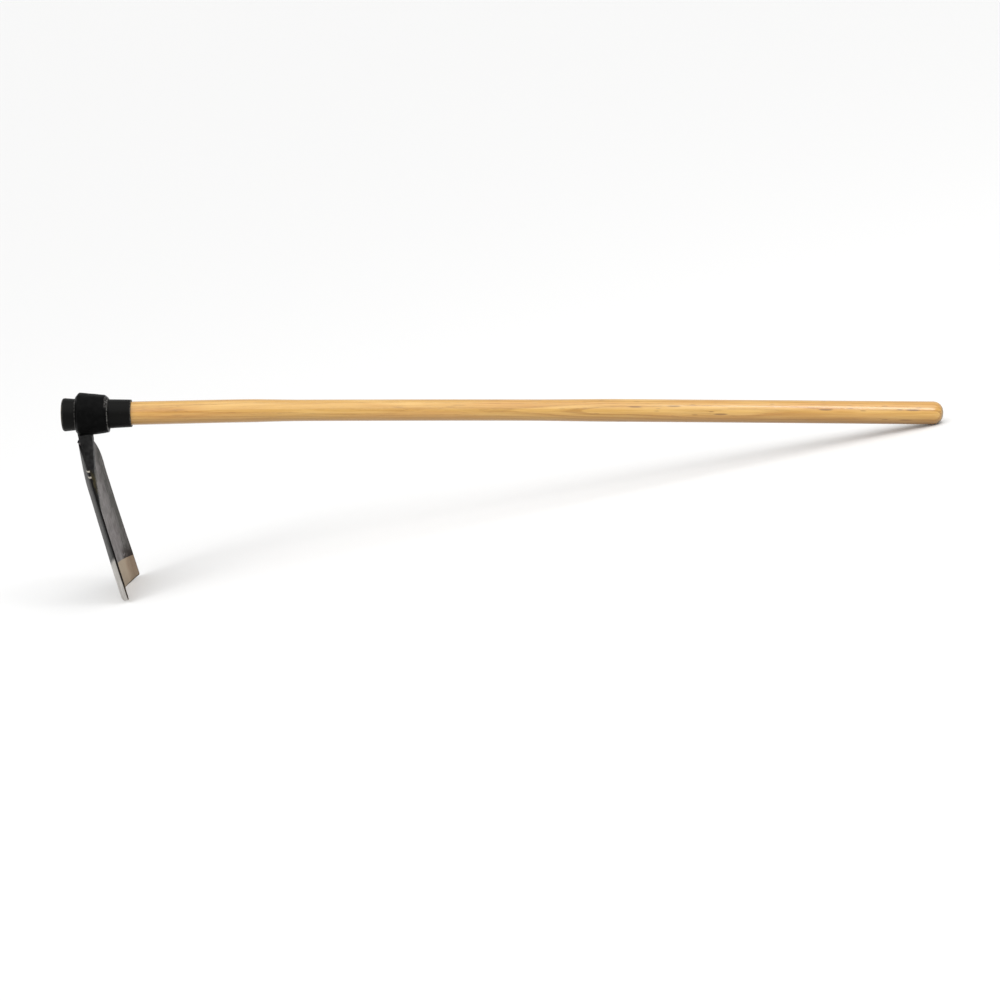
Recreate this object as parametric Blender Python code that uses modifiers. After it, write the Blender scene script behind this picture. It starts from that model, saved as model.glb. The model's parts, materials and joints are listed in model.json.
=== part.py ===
"""Long-handled eye hoe: an ash handle wedged by a tapered sleeve into a steel eye, with a dished blade.

Metres, +Z up. The tool is drawn in a frame of its own: the middle of the eye is the origin, X runs along the
eye's axis towards the grip, and the blade hangs towards -Z. The empty "stance" then leans the tool, so that
it rests on z = 0 on its cutting edge and on the butt of its handle.
"""

from math import asin, atan2, cos, hypot, pi, radians, sin, sqrt

import bmesh
import bpy
from mathutils import Vector

MM = 0.001

# Clear space between two pieces that touch.
FIT_GAP = 0.3 * MM

# Handle. X of its two ends, and its radius at stations along X, from the swell inside the eye to the butt.
HANDLE_HEAD_END = -46.8 * MM
HANDLE_BUTT_END = 1323.0 * MM
HANDLE_STATIONS = (
    (HANDLE_HEAD_END, 21.7 * MM),
    (60.0 * MM, 18.3 * MM),
    (230.0 * MM, 18.1 * MM),
    (330.0 * MM, 16.7 * MM),
    (680.0 * MM, 16.7 * MM),
    (820.0 * MM, 17.8 * MM),
    (HANDLE_BUTT_END, 17.9 * MM),
)
BUTT_ROUND = 15.5 * MM
HEAD_END_CHAMFER = 0.8 * MM
HANDLE_STEP = 34.0 * MM

# The handle droops in two gentle bends: the X where each starts and ends, and the slope that it adds.
HANDLE_BENDS = ((150.0 * MM, 350.0 * MM, 0.021), (350.0 * MM, 1050.0 * MM, 0.011))

# Tapered sleeve. X and outer radius of its two ends, and of where its flared lip begins.
SLEEVE_GRIP_END = (61.2 * MM, 21.4 * MM)
SLEEVE_LIP_START = (-28.5 * MM, 24.65 * MM)
SLEEVE_HEAD_END = (-46.5 * MM, 26.3 * MM)
SLEEVE_RIM_ROUND = 3.4 * MM
SLEEVE_EDGE_ROUND = 0.6 * MM

# Eye ring. It tapers towards the grip, and both of its rims are bevelled.
EYE_HALF_LENGTH = 25.7 * MM
EYE_HEAD_SHOULDER = (-20.2 * MM, 34.2 * MM)
EYE_GRIP_SHOULDER = (20.0 * MM, 29.6 * MM)
EYE_HEAD_FACE_RADIUS = 27.0 * MM
EYE_GRIP_FACE_RADIUS = 25.2 * MM
EYE_SHOULDER_ROUND = 3.0 * MM
EYE_GRIP_ROUND = 0.8 * MM
EYE_ROOM_BORE = 10.0 * MM

# Blade. Lengths run down its middle line from its top edge, which sits below and behind the eye.
BLADE_TOP = (-21.8 * MM, -42.0 * MM)
BLADE_LENGTH = 254.5 * MM
BLADE_THICKNESS = 2.8 * MM
BLADE_EDGE_THICKNESS = 1.6 * MM
BLADE_GRIND_LENGTH = 38.0 * MM
BLADE_DISH_RADIUS = 146.5 * MM
BLADE_TOP_HALF_WIDTH = 26.0 * MM
BLADE_SHOULDER_HALF_WIDTH = 69.4 * MM
BLADE_SHOULDER_LENGTH = 58.0 * MM
BLADE_SIDE_FLARE = 6.6 * MM
BLADE_EDGE_CROWN = 3.2 * MM
BLADE_EDGE_WEAR = 1.5 * MM
BLADE_LEAN_TOP = radians(6.9)
BLADE_LEAN_EDGE = radians(13.3)
BLADE_LEAN_CHANGE = (30.0 * MM, 80.0 * MM)
BLADE_ROWS = 34
BLADE_COLUMNS = 20

# Neck and tang: one bar, from inside the eye's wall down the inner face of the blade.
TANG_START = -20.0 * MM
TANG_LENGTH = 143.0 * MM
TANG_DEPTH = 19.5 * MM
TANG_TIP_DEPTH = 1.0 * MM
TANG_DEPTH_POWER = 1.05
NECK_HALF_WIDTH = 12.5 * MM
NECK_BACK = 1.6 * MM
NECK_STEP_SLOPE = 0.5 * MM
TANG_TIP_HALF_WIDTH = 3.5 * MM
TANG_FRONT_SHARE = 0.86
TANG_CORNER = 2.2 * MM
TANG_SECTIONS = 26

# Weld beads: radius of each.
EYE_BEAD = 1.8 * MM
TANG_BEAD = 1.9 * MM
TOP_BEAD = 1.2 * MM
TOP_BEAD_DOWN = 0.2 * MM
TANG_BEAD_SPAN = (4.0 * MM, 114.0 * MM)

TURNED_STEPS = 48

# Name: colour, roughness and metallic value.
FINISHES = {
    "clear_lacquered_ash": ((0.66, 0.42, 0.17), 0.32, 0.0),
    "black_moulded_plastic": ((0.012, 0.012, 0.012), 0.55, 0.0),
    "black_painted_forging": ((0.008, 0.008, 0.009), 0.42, 0.3),
    "scale_grey_steel": ((0.11, 0.10, 0.095), 0.45, 0.8),
    "painted_weld": ((0.015, 0.015, 0.016), 0.5, 0.4),
}


def smooth_step(value, start, end):
    """0 up to start, 1 from end, and a smooth ramp between them."""
    t = min(1.0, max(0.0, (value - start) / (end - start)))
    return t * t * (3 - 2 * t)


def smooth_step_area(value, start, end):
    """The area under smooth_step from start to value."""
    t = min(1.0, max(0.0, (value - start) / (end - start)))
    return (end - start) * (t**3 - t**4 / 2) + max(0.0, value - end)


def between(stations, value):
    """The second number of a list of stations, blended smoothly at value, which is its first number."""
    for (start, first), (end, second) in zip(stations, stations[1:]):
        if value <= end:
            return first + (second - first) * smooth_step(value, start, end)
    return stations[-1][1]


# ---------------------------------------------------------------- objects, finishes and modifiers


def clear_scene():
    for obj in list(bpy.data.objects):
        bpy.data.objects.remove(obj, do_unlink=True)


def new_collection(name):
    collection = bpy.data.collections.new(name)
    bpy.context.scene.collection.children.link(collection)
    return collection


def finish(name):
    """The named finish as a material, made the first time that it is asked for."""
    if name in bpy.data.materials:
        return bpy.data.materials[name]
    colour, roughness, metallic = FINISHES[name]
    material = bpy.data.materials.new(name)
    material.use_nodes = True
    shader = material.node_tree.nodes["Principled BSDF"]
    shader.inputs["Base Color"].default_value = (*colour, 1)
    shader.inputs["Roughness"].default_value = roughness
    shader.inputs["Metallic"].default_value = metallic
    return material


def add_piece(name, data, finish_name, collection, parent):
    """An object that holds this mesh or curve, in a collection and under a parent."""
    obj = bpy.data.objects.new(name, data)
    obj.data.materials.append(finish(finish_name))
    obj.parent = parent
    collection.objects.link(obj)
    return obj


def mesh_from(name, mesh_builder):
    mesh = bpy.data.meshes.new(name)
    bmesh.ops.recalc_face_normals(mesh_builder, faces=mesh_builder.faces[:])
    mesh_builder.to_mesh(mesh)
    mesh_builder.free()
    mesh.shade_smooth()
    mesh.set_sharp_from_angle(angle=radians(35))
    return mesh


def subtract(obj, cutter):
    modifier = obj.modifiers.new("cut_" + cutter.name, "BOOLEAN")
    modifier.operation = "DIFFERENCE"
    modifier.solver = "EXACT"
    modifier.object = cutter


def make_cutter(obj):
    obj.hide_render = True
    obj.display_type = "WIRE"
    return obj


# ---------------------------------------------------------------- turned pieces


def rounded_profile(corners, segments=5):
    """A closed profile. A corner is (along, radius, round), and each is replaced by an arc of its round."""
    points = []
    for index, (along, radius, corner_round) in enumerate(corners):
        here = Vector((along, radius))
        before = Vector(corners[index - 1][:2])
        after = Vector(corners[(index + 1) % len(corners)][:2])
        if corner_round == 0:
            points.append(here)
            continue
        into = (before - here).normalized()
        out = (after - here).normalized()
        half_angle = into.angle(out) / 2
        tangent_length = corner_round * cos(half_angle) / sin(half_angle)
        centre = here + (into + out).normalized() * corner_round / sin(half_angle)
        first = here + into * tangent_length - centre
        sweep = first.angle_signed(here + out * tangent_length - centre)
        for step in range(segments + 1):
            turn = -sweep * step / segments
            x = first.x * cos(turn) - first.y * sin(turn)
            y = first.x * sin(turn) + first.y * cos(turn)
            points.append(centre + Vector((x, y)))
    return points


def turned(name, profile, finish_name, collection, parent):
    """A closed profile of (along, radius) turned about the tool's X axis. It runs down its outer side first."""
    mesh = bpy.data.meshes.new(name)
    builder = bmesh.new()
    corners = [builder.verts.new((radius, 0, along)) for along, radius in profile]
    for first, second in zip(corners, corners[1:] + corners[:1]):
        builder.edges.new((first, second))
    builder.to_mesh(mesh)
    builder.free()
    obj = add_piece(name, mesh, finish_name, collection, parent)
    obj.rotation_euler = (0, pi / 2, 0)
    screw = obj.modifiers.new("turn", "SCREW")
    screw.axis = "Z"
    screw.angle = 2 * pi
    screw.steps = TURNED_STEPS
    screw.render_steps = TURNED_STEPS
    screw.use_merge_vertices = True
    screw.merge_threshold = 0.00001
    screw.use_smooth_shade = True
    return obj


def sleeve_radius(along):
    """Outer radius of the sleeve's long taper, between its grip end and its lip."""
    (grip_x, grip_radius), (lip_x, lip_radius) = SLEEVE_GRIP_END, SLEEVE_LIP_START
    return grip_radius + (lip_radius - grip_radius) * (grip_x - along) / (grip_x - lip_x)


def make_sleeve(collection, stance):
    grip_x, grip_radius = SLEEVE_GRIP_END
    lip_x, lip_radius = SLEEVE_LIP_START
    head_x, head_radius = SLEEVE_HEAD_END
    bore_head = handle_radius(head_x) + FIT_GAP
    bore_grip = handle_radius(grip_x) + FIT_GAP
    bore_stations = 6
    bore = [
        (x, handle_radius(x) + FIT_GAP, 0)
        for x in (head_x + (grip_x - head_x) * i / bore_stations for i in range(1, bore_stations))
    ]
    corners = [
        (grip_x, grip_radius, SLEEVE_EDGE_ROUND),
        (lip_x, lip_radius, 0),
        (head_x, head_radius, SLEEVE_RIM_ROUND),
        (head_x, bore_head, 0),
        *bore,
        (grip_x, bore_grip, 0),
    ]
    return turned("taper_sleeve", rounded_profile(corners), "black_moulded_plastic", collection, stance)


def eye_corners():
    """The eye ring's outer corners, from its grip face to its head face, as (along, radius, round)."""
    return [
        (EYE_HALF_LENGTH, EYE_GRIP_FACE_RADIUS, 0),
        (*EYE_GRIP_SHOULDER, EYE_GRIP_ROUND),
        (*EYE_HEAD_SHOULDER, EYE_SHOULDER_ROUND),
        (-EYE_HALF_LENGTH, EYE_HEAD_FACE_RADIUS, EYE_GRIP_ROUND),
    ]


def make_eye_ring(collection, stance):
    bore = [
        (-EYE_HALF_LENGTH, sleeve_radius(-EYE_HALF_LENGTH) + FIT_GAP, 0),
        (EYE_HALF_LENGTH, sleeve_radius(EYE_HALF_LENGTH) + FIT_GAP, 0),
    ]
    profile = rounded_profile(eye_corners() + bore)
    return turned("eye_ring", profile, "black_painted_forging", collection, stance)


def radius_clear_of_eye(along, distance):
    """The radius at a place along the axis that keeps this distance from the eye ring's outside."""
    corners = eye_corners()
    found = []
    for (first_x, first_r, _), (second_x, second_r, _) in zip(corners, corners[1:]):
        slope = (first_r - second_r) / (first_x - second_x)
        found.append(second_r + slope * (along - second_x) + distance * hypot(1, slope))
    return min(found)


# ---------------------------------------------------------------- handle


def handle_radius(along):
    return between(HANDLE_STATIONS, along)


def handle_height(along):
    return -sum(slope * smooth_step_area(along, start, end) for start, end, slope in HANDLE_BENDS)


def handle_direction(along):
    slope = -sum(slope * smooth_step(along, start, end) for start, end, slope in HANDLE_BENDS)
    return Vector((1, 0, slope)).normalized()


def handle_sections():
    """(along, radius) from the chamfered head end, along the handle, and round the butt."""
    head_radius = handle_radius(HANDLE_HEAD_END)
    sections = [
        (HANDLE_HEAD_END, head_radius - HEAD_END_CHAMFER),
        (HANDLE_HEAD_END + HEAD_END_CHAMFER, head_radius),
    ]
    start = HANDLE_HEAD_END + HEAD_END_CHAMFER
    round_start = HANDLE_BUTT_END - BUTT_ROUND
    steps = round((round_start - start) / HANDLE_STEP)
    for step in range(1, steps + 1):
        along = start + (round_start - start) * step / steps
        sections.append((along, handle_radius(along)))
    butt_radius = handle_radius(round_start)
    round_steps = 8
    for step in range(1, round_steps + 1):
        turn = pi / 2 * step / round_steps
        along = round_start + BUTT_ROUND * sin(turn)
        sections.append((along, butt_radius - BUTT_ROUND * (1 - cos(turn))))
    return sections


def tube(name, points, radii, finish_name, collection, parent, resolution):
    """A round bar along these points, with its own radius at each."""
    curve = bpy.data.curves.new(name, "CURVE")
    curve.dimensions = "3D"
    curve.bevel_depth = 1.0
    curve.bevel_resolution = resolution
    curve.use_fill_caps = True
    spline = curve.splines.new("POLY")
    spline.points.add(len(points) - 1)
    for spline_point, point, radius in zip(spline.points, points, radii):
        spline_point.co = (*point, 1)
        spline_point.radius = radius
    return add_piece(name, curve, finish_name, collection, parent)


def make_handle(collection, stance):
    sections = handle_sections()
    points = [(along, 0, handle_height(along)) for along, _ in sections]
    radii = [radius for _, radius in sections]
    return tube("shaft", points, radii, "clear_lacquered_ash", collection, stance, resolution=12)


# ---------------------------------------------------------------- blade


def blade_lean(down):
    start, end = BLADE_LEAN_CHANGE
    return BLADE_LEAN_TOP + (BLADE_LEAN_EDGE - BLADE_LEAN_TOP) * smooth_step(down, start, end)


def blade_centre(down):
    """The point of the blade's middle line at this length from its top edge, summed in short straight steps."""
    steps = 60
    x, z = BLADE_TOP
    for step in range(steps):
        lean = blade_lean(down * (step + 0.5) / steps)
        x += sin(lean) * down / steps
        z -= cos(lean) * down / steps
    return Vector((x, 0, z))


def blade_half_width(down):
    """Half the blade's width: a quarter ellipse down each shoulder, and sides that flare a little to the edge."""
    left = 1 - min(1.0, down / BLADE_SHOULDER_LENGTH)
    shoulder = (BLADE_SHOULDER_HALF_WIDTH - BLADE_TOP_HALF_WIDTH) * sqrt(1 - left**2)
    return BLADE_TOP_HALF_WIDTH + shoulder + BLADE_SIDE_FLARE * (down / BLADE_LENGTH) ** 2


def blade_point(down, side, out=0.0):
    """A point of the dished blade.

    down is the length from the top edge, side the distance from the middle plane, and out the distance from
    the blade's middle surface towards the grip.
    """
    lean = blade_lean(down)
    turn = asin(side / BLADE_DISH_RADIUS)
    forward = Vector((cos(lean), 0, sin(lean)))
    dish = BLADE_DISH_RADIUS * (1 - cos(turn))
    normal = forward * cos(turn) - Vector((0, sin(turn), 0))
    return blade_centre(down) + forward * dish + Vector((0, side, 0)) + normal * out


def make_blade(collection, stance, floor):
    builder = bmesh.new()
    bmesh.ops.create_grid(builder, x_segments=BLADE_COLUMNS, y_segments=BLADE_ROWS, size=1)
    weight = builder.verts.layers.deform.verify()
    thin_share = BLADE_EDGE_THICKNESS / BLADE_THICKNESS
    for vertex in builder.verts:
        across, share = vertex.co.x, (1 - vertex.co.y) / 2
        length = BLADE_LENGTH - BLADE_EDGE_CROWN * across**2
        down = length * share**1.6
        grind = min(1.0, max(0.0, (length - down) / BLADE_GRIND_LENGTH))
        vertex[weight][0] = thin_share + (1 - thin_share) * grind
        vertex.co = blade_point(down, across * blade_half_width(down))
    blade = add_piece("blade", mesh_from("blade", builder), "scale_grey_steel", collection, stance)
    blade.vertex_groups.new(name="gauge")
    plate = blade.modifiers.new("plate", "SOLIDIFY")
    plate.thickness = BLADE_THICKNESS
    plate.offset = 0
    plate.vertex_group = "gauge"
    subtract(blade, floor)
    return blade


# ---------------------------------------------------------------- neck and tang


def tang_share(down):
    return min(1.0, max(0.0, down / TANG_LENGTH))


def tang_depth(down):
    """How far the bar stands out from the blade towards the grip."""
    taper = 1 - tang_share(down) ** TANG_DEPTH_POWER
    return TANG_TIP_DEPTH + (TANG_DEPTH - TANG_TIP_DEPTH) * taper


def tang_half_width(down):
    return NECK_HALF_WIDTH + (TANG_TIP_HALF_WIDTH - NECK_HALF_WIDTH) * tang_share(down)


def tang_section(down):
    """Eight points round the bar: it is narrower at its front, and its four corners are cut.

    Above the blade's top edge it reaches back over the edge, and ends just behind the blade's outer face.
    """
    inner_face = BLADE_THICKNESS / 2 + FIT_GAP
    back = inner_face if down >= -FIT_GAP else -NECK_BACK
    front = inner_face + tang_depth(down)
    back_half = tang_half_width(down)
    front_half = back_half * TANG_FRONT_SHARE
    cut = min(TANG_CORNER, tang_depth(down) * 0.35, front_half * 0.5)
    half_side = [
        (back_half - cut * 0.3, back),
        (back_half, back + cut * 0.3),
        (front_half, front - cut),
        (front_half - cut, front),
    ]
    other_side = [(-side, out) for side, out in reversed(half_side)]
    return [blade_point(down, side, out) for side, out in half_side + other_side]


def loft(name, sections, finish_name, collection, parent):
    """A closed body through sections that have the same number of points."""
    builder = bmesh.new()
    rings = [[builder.verts.new(point) for point in section] for section in sections]
    for ring, following in zip(rings, rings[1:]):
        for index in range(len(ring)):
            after = (index + 1) % len(ring)
            builder.faces.new((ring[index], ring[after], following[after], following[index]))
    for end in (rings[0], rings[-1]):
        builder.faces.new(end)
    return add_piece(name, mesh_from(name, builder), finish_name, collection, parent)


def make_neck(collection, stance, eye_room):
    step_end = -FIT_GAP
    neck_places = [TANG_START, TANG_START / 2, step_end - NECK_STEP_SLOPE]
    span = TANG_LENGTH - step_end
    tang_places = [step_end + span * step / TANG_SECTIONS for step in range(TANG_SECTIONS + 1)]
    sections = [tang_section(down) for down in neck_places + tang_places]
    neck = loft("neck_and_tang", sections, "black_painted_forging", collection, stance)
    subtract(neck, eye_room)
    return neck


# ---------------------------------------------------------------- weld beads


def bead(name, points, radius, collection, stance):
    radii = [radius] * len(points)
    return tube(name, points, radii, "painted_weld", collection, stance, resolution=2)


def make_tang_bead(name, side_sign, collection, stance):
    """A bead in the corner between one side of the tang and the inner face of the blade."""
    start, end = TANG_BEAD_SPAN
    steps = 26
    reach = TANG_BEAD + FIT_GAP
    points = []
    for step in range(steps + 1):
        down = start + (end - start) * step / steps
        side = side_sign * (tang_half_width(down) + reach)
        points.append(blade_point(down, side, BLADE_THICKNESS / 2 + reach))
    return bead(name, points, TANG_BEAD, collection, stance)


def make_top_bead(collection, stance):
    """A bead on the blade's outer face, along the seam where its top edge meets the neck."""
    half_length = NECK_HALF_WIDTH - TOP_BEAD
    steps = 8
    out = -(BLADE_THICKNESS / 2 + TOP_BEAD + FIT_GAP)
    sides = [half_length * (2 * step / steps - 1) for step in range(steps + 1)]
    points = [blade_point(TOP_BEAD_DOWN, side, out) for side in sides]
    return bead("blade_top_weld", points, TOP_BEAD, collection, stance)


def neck_outline(reach, corner_steps=4, side_steps=6):
    """A line of (x, y) just under the eye, this far outside one side of the neck, its front and its other side."""
    down = EYE_HEAD_SHOULDER[1] + BLADE_TOP[1]
    start = blade_point(down, 0, -NECK_BACK).x + EYE_BEAD
    front = blade_point(down, 0, BLADE_THICKNESS / 2 + FIT_GAP + TANG_DEPTH).x
    corner = Vector((front, NECK_HALF_WIDTH))
    beginning = Vector((start, NECK_HALF_WIDTH + reach))
    side = [beginning.lerp(corner + Vector((0, reach)), step / side_steps) for step in range(side_steps)]
    turns = [pi / 2 * (1 - step / corner_steps) for step in range(corner_steps + 1)]
    round_corner = [corner + reach * Vector((cos(turn), sin(turn))) for turn in turns]
    half = side + round_corner
    other_half = [Vector((x, -y)) for x, y in reversed(half)]
    middle = [half[-1].lerp(other_half[0], step / side_steps) for step in range(1, side_steps)]
    return half + middle + other_half


def make_eye_bead(collection, stance):
    """A bead round the front and both sides of the neck, under the eye."""
    reach = EYE_BEAD + FIT_GAP
    points = []
    for x, y in neck_outline(reach + FIT_GAP):
        radius = radius_clear_of_eye(x, reach)
        points.append((x, y, -sqrt(radius**2 - y**2)))
    return bead("eye_weld", points, EYE_BEAD, collection, stance)


# ---------------------------------------------------------------- cutters


def make_eye_room(collection, stance):
    """The space of the eye ring and its clearance, which the top of the neck is cut back from."""
    reach = EYE_HALF_LENGTH + FIT_GAP
    steps = 24
    places = [reach * (1 - 2 * step / steps) for step in range(steps + 1)]
    outside = [Vector((x, radius_clear_of_eye(x, FIT_GAP))) for x in places]
    inside = [Vector((-reach, EYE_ROOM_BORE)), Vector((reach, EYE_ROOM_BORE))]
    return make_cutter(turned("eye_room", outside + inside, "black_painted_forging", collection, stance))


def adopt_cutter(name, rotation, collection, parent):
    """Names the primitive just added, and moves it to the cutters' collection and under a parent."""
    obj = bpy.context.active_object
    obj.name = name
    obj.parent = parent
    obj.rotation_euler = rotation
    for holder in list(obj.users_collection):
        holder.objects.unlink(obj)
    collection.objects.link(obj)
    return make_cutter(obj)


def make_floor_cutter(collection):
    """A block just under z = 0, which wears the cutting edge flat where it would touch the ground."""
    size = 600 * MM
    bpy.ops.mesh.primitive_cube_add(size=size, location=(0, 0, -size / 2))
    return adopt_cutter("floor_cutter", (0, 0, 0), collection, None)


# ---------------------------------------------------------------- stance


def lean_and_height():
    """The tool's lean, and the height of the eye, that put the edge and the butt's round on z = 0."""
    edge = blade_centre(BLADE_LENGTH - BLADE_EDGE_WEAR)
    round_start = HANDLE_BUTT_END - BUTT_ROUND
    direction = handle_direction(round_start)
    below = Vector((direction.z, 0, -direction.x))
    drop = handle_radius(round_start) - BUTT_ROUND
    centre = Vector((round_start, 0, handle_height(round_start))) + below * drop
    reach = centre - edge
    lean = atan2(reach.z, reach.x) - asin(BUTT_ROUND / reach.length)
    return lean, edge.x * sin(lean) - edge.z * cos(lean)


def along_world_x(obj):
    """The world x of every vertex of an object, with its modifiers."""
    evaluated = obj.evaluated_get(bpy.context.evaluated_depsgraph_get())
    found = [(evaluated.matrix_world @ vertex.co).x for vertex in evaluated.to_mesh().vertices]
    evaluated.to_mesh_clear()
    return found


def centre_over_origin(stance, cutter, head, butt):
    """Slides the tool along X, so that the middle of its length is over the origin."""
    bpy.context.view_layer.update()
    shift = -(min(along_world_x(head)) + max(along_world_x(butt))) / 2
    stance.location.x += shift
    cutter.location.x += shift


def main():
    clear_scene()
    parts = new_collection("eye_hoe")
    cutters = new_collection("cutters")
    stance = bpy.data.objects.new("stance", None)
    parts.objects.link(stance)
    lean, height = lean_and_height()
    stance.rotation_euler = (0, lean, 0)
    stance.location = (0, 0, height)
    floor = make_floor_cutter(cutters)
    eye_room = make_eye_room(cutters, stance)
    shaft = make_handle(parts, stance)
    sleeve = make_sleeve(parts, stance)
    make_eye_ring(parts, stance)
    make_neck(parts, stance, eye_room)
    make_blade(parts, stance, floor)
    make_eye_bead(parts, stance)
    make_tang_bead("tang_weld_left", 1, parts, stance)
    make_tang_bead("tang_weld_right", -1, parts, stance)
    make_top_bead(parts, stance)
    centre_over_origin(stance, floor, sleeve, shaft)


main()
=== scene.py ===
"""Looks of a long-handled eye hoe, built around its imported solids.

Each piece starts as its stock does, straight and flat: turned bar, plate, forged bar and weld wire. There it
is cut, rounded and worn. Then it is bent to its place in the tool, and the tool is stood on its edge and butt
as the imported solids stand. Every vertex keeps its place in the stock as the attribute "stock", in metres, and
the finishes read it, so grain, grinding marks and streaks follow the work.

The tool's own coordinates have the middle of the eye as origin, X along the eye towards the grip, and the
blade hanging towards -Z.
"""

import json
import logging
import math
import random
from collections.abc import Callable, Sequence
from dataclasses import dataclass, field
from enum import Enum

import bmesh
import bpy
from mathutils import Matrix, Vector, noise


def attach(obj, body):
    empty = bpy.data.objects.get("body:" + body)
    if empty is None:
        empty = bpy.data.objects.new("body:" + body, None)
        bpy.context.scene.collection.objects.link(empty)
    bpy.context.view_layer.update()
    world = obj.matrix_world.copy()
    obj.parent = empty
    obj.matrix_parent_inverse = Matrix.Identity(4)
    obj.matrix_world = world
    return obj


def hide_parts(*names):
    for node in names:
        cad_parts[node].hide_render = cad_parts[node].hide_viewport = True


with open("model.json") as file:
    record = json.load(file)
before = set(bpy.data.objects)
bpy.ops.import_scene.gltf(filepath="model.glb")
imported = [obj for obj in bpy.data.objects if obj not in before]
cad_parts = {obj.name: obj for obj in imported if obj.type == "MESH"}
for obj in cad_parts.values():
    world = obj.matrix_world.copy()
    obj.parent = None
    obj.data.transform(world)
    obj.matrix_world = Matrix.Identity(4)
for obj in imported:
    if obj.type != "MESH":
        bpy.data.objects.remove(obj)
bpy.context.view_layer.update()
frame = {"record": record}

MM = 0.001
MERGE = 1e-7
BODY = "root"
log = logging.getLogger("eye_hoe")

Colour = tuple[float, float, float]
Corner = tuple[float, float, float]
Placing = Callable[[Vector], Vector]


class Slot(Enum):
    """The record's material slots."""

    ASH = "ash"
    SLEEVE = "sleeve"
    FORGING = "forging"
    BLADE = "blade"
    WELD = "weld"


class Side(Enum):
    """The two sides of the tool's middle plane, by the sign of Y."""

    LEFT = 1
    RIGHT = -1


def smooth_step(value: float, start: float, end: float) -> float:
    """A smooth ramp from 0 at start to 1 at end.

    Args:
        value: where to read the ramp.
        start: where the ramp leaves 0.
        end: where the ramp reaches 1.

    Returns:
        The ramp's height at value.
    """
    share = min(1.0, max(0.0, (value - start) / (end - start)))
    return share * share * (3 - 2 * share)


def smooth_step_area(value: float, start: float, end: float) -> float:
    """The area under smooth_step from start to value.

    Args:
        value: where the area ends.
        start: where the ramp leaves 0.
        end: where the ramp reaches 1.

    Returns:
        The area, in the square of value's unit.
    """
    share = min(1.0, max(0.0, (value - start) / (end - start)))
    return (end - start) * (share**3 - share**4 / 2) + max(0.0, value - end)


def between(stations: Sequence[tuple[float, float]], value: float) -> float:
    """Blends smoothly through a list of stations.

    Args:
        stations: pairs of a place and the number that holds there, by rising place.
        value: the place to read.

    Returns:
        The blended number.
    """
    for (start, first), (end, second) in zip(stations, stations[1:]):
        if value <= end:
            return first + (second - first) * smooth_step(value, start, end)
    return stations[-1][1]


# ---------------------------------------------------------------- shader maths


class Num:
    """A number in a shader: one output socket, with Python's arithmetic."""

    def __init__(self, shade: "Shade", socket: bpy.types.NodeSocket) -> None:
        """Wraps a socket of this shade's tree."""
        self.shade = shade
        self.socket = socket

    def _math(self, operation: str, *values: "Num | float") -> "Num":
        """Adds one Math node.

        Args:
            operation: the node's operation.
            *values: its inputs, in order.

        Returns:
            The node's result.
        """
        return self.shade.read("Math", {"operation": operation}, dict(enumerate(values)))

    def __add__(self, other: "Num | float") -> "Num":
        """Self + other."""
        return self._math("ADD", self, other)

    def __sub__(self, other: "Num | float") -> "Num":
        """Self - other."""
        return self._math("SUBTRACT", self, other)

    def __rsub__(self, other: float) -> "Num":
        """Other - self."""
        return self._math("SUBTRACT", other, self)

    def __mul__(self, other: "Num | float") -> "Num":
        """Self * other."""
        return self._math("MULTIPLY", self, other)

    def __truediv__(self, other: "Num | float") -> "Num":
        """Self / other."""
        return self._math("DIVIDE", self, other)

    def __pow__(self, other: float) -> "Num":
        """Self to the power of other."""
        return self._math("POWER", self, other)

    __radd__ = __add__
    __rmul__ = __mul__

    def __abs__(self) -> "Num":
        """The distance from 0."""
        return self._math("ABSOLUTE", self)

    def fraction(self) -> "Num":
        """What is left above the whole number below."""
        return self._math("FRACT", self)

    def whole(self) -> "Num":
        """The whole number below."""
        return self._math("FLOOR", self)

    def ramp(self, start: float, end: float) -> "Num":
        """A smooth ramp from 0 where this is start to 1 where it is end.

        Args:
            start: the value that gives 0.
            end: the value that gives 1, above or below start.

        Returns:
            The ramp, from 0 to 1.
        """
        low, high = min(start, end), max(start, end)
        inputs = {"Value": self, "From Min": low, "From Max": high}
        rising = self.shade.read("MapRange", {"interpolation_type": "SMOOTHSTEP"}, inputs, "Result")
        return rising if start < end else 1 - rising

    def limited(self) -> "Num":
        """Held between 0 and 1."""
        return self.shade.read("Clamp", {}, {"Value": self}, "Result")


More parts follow.
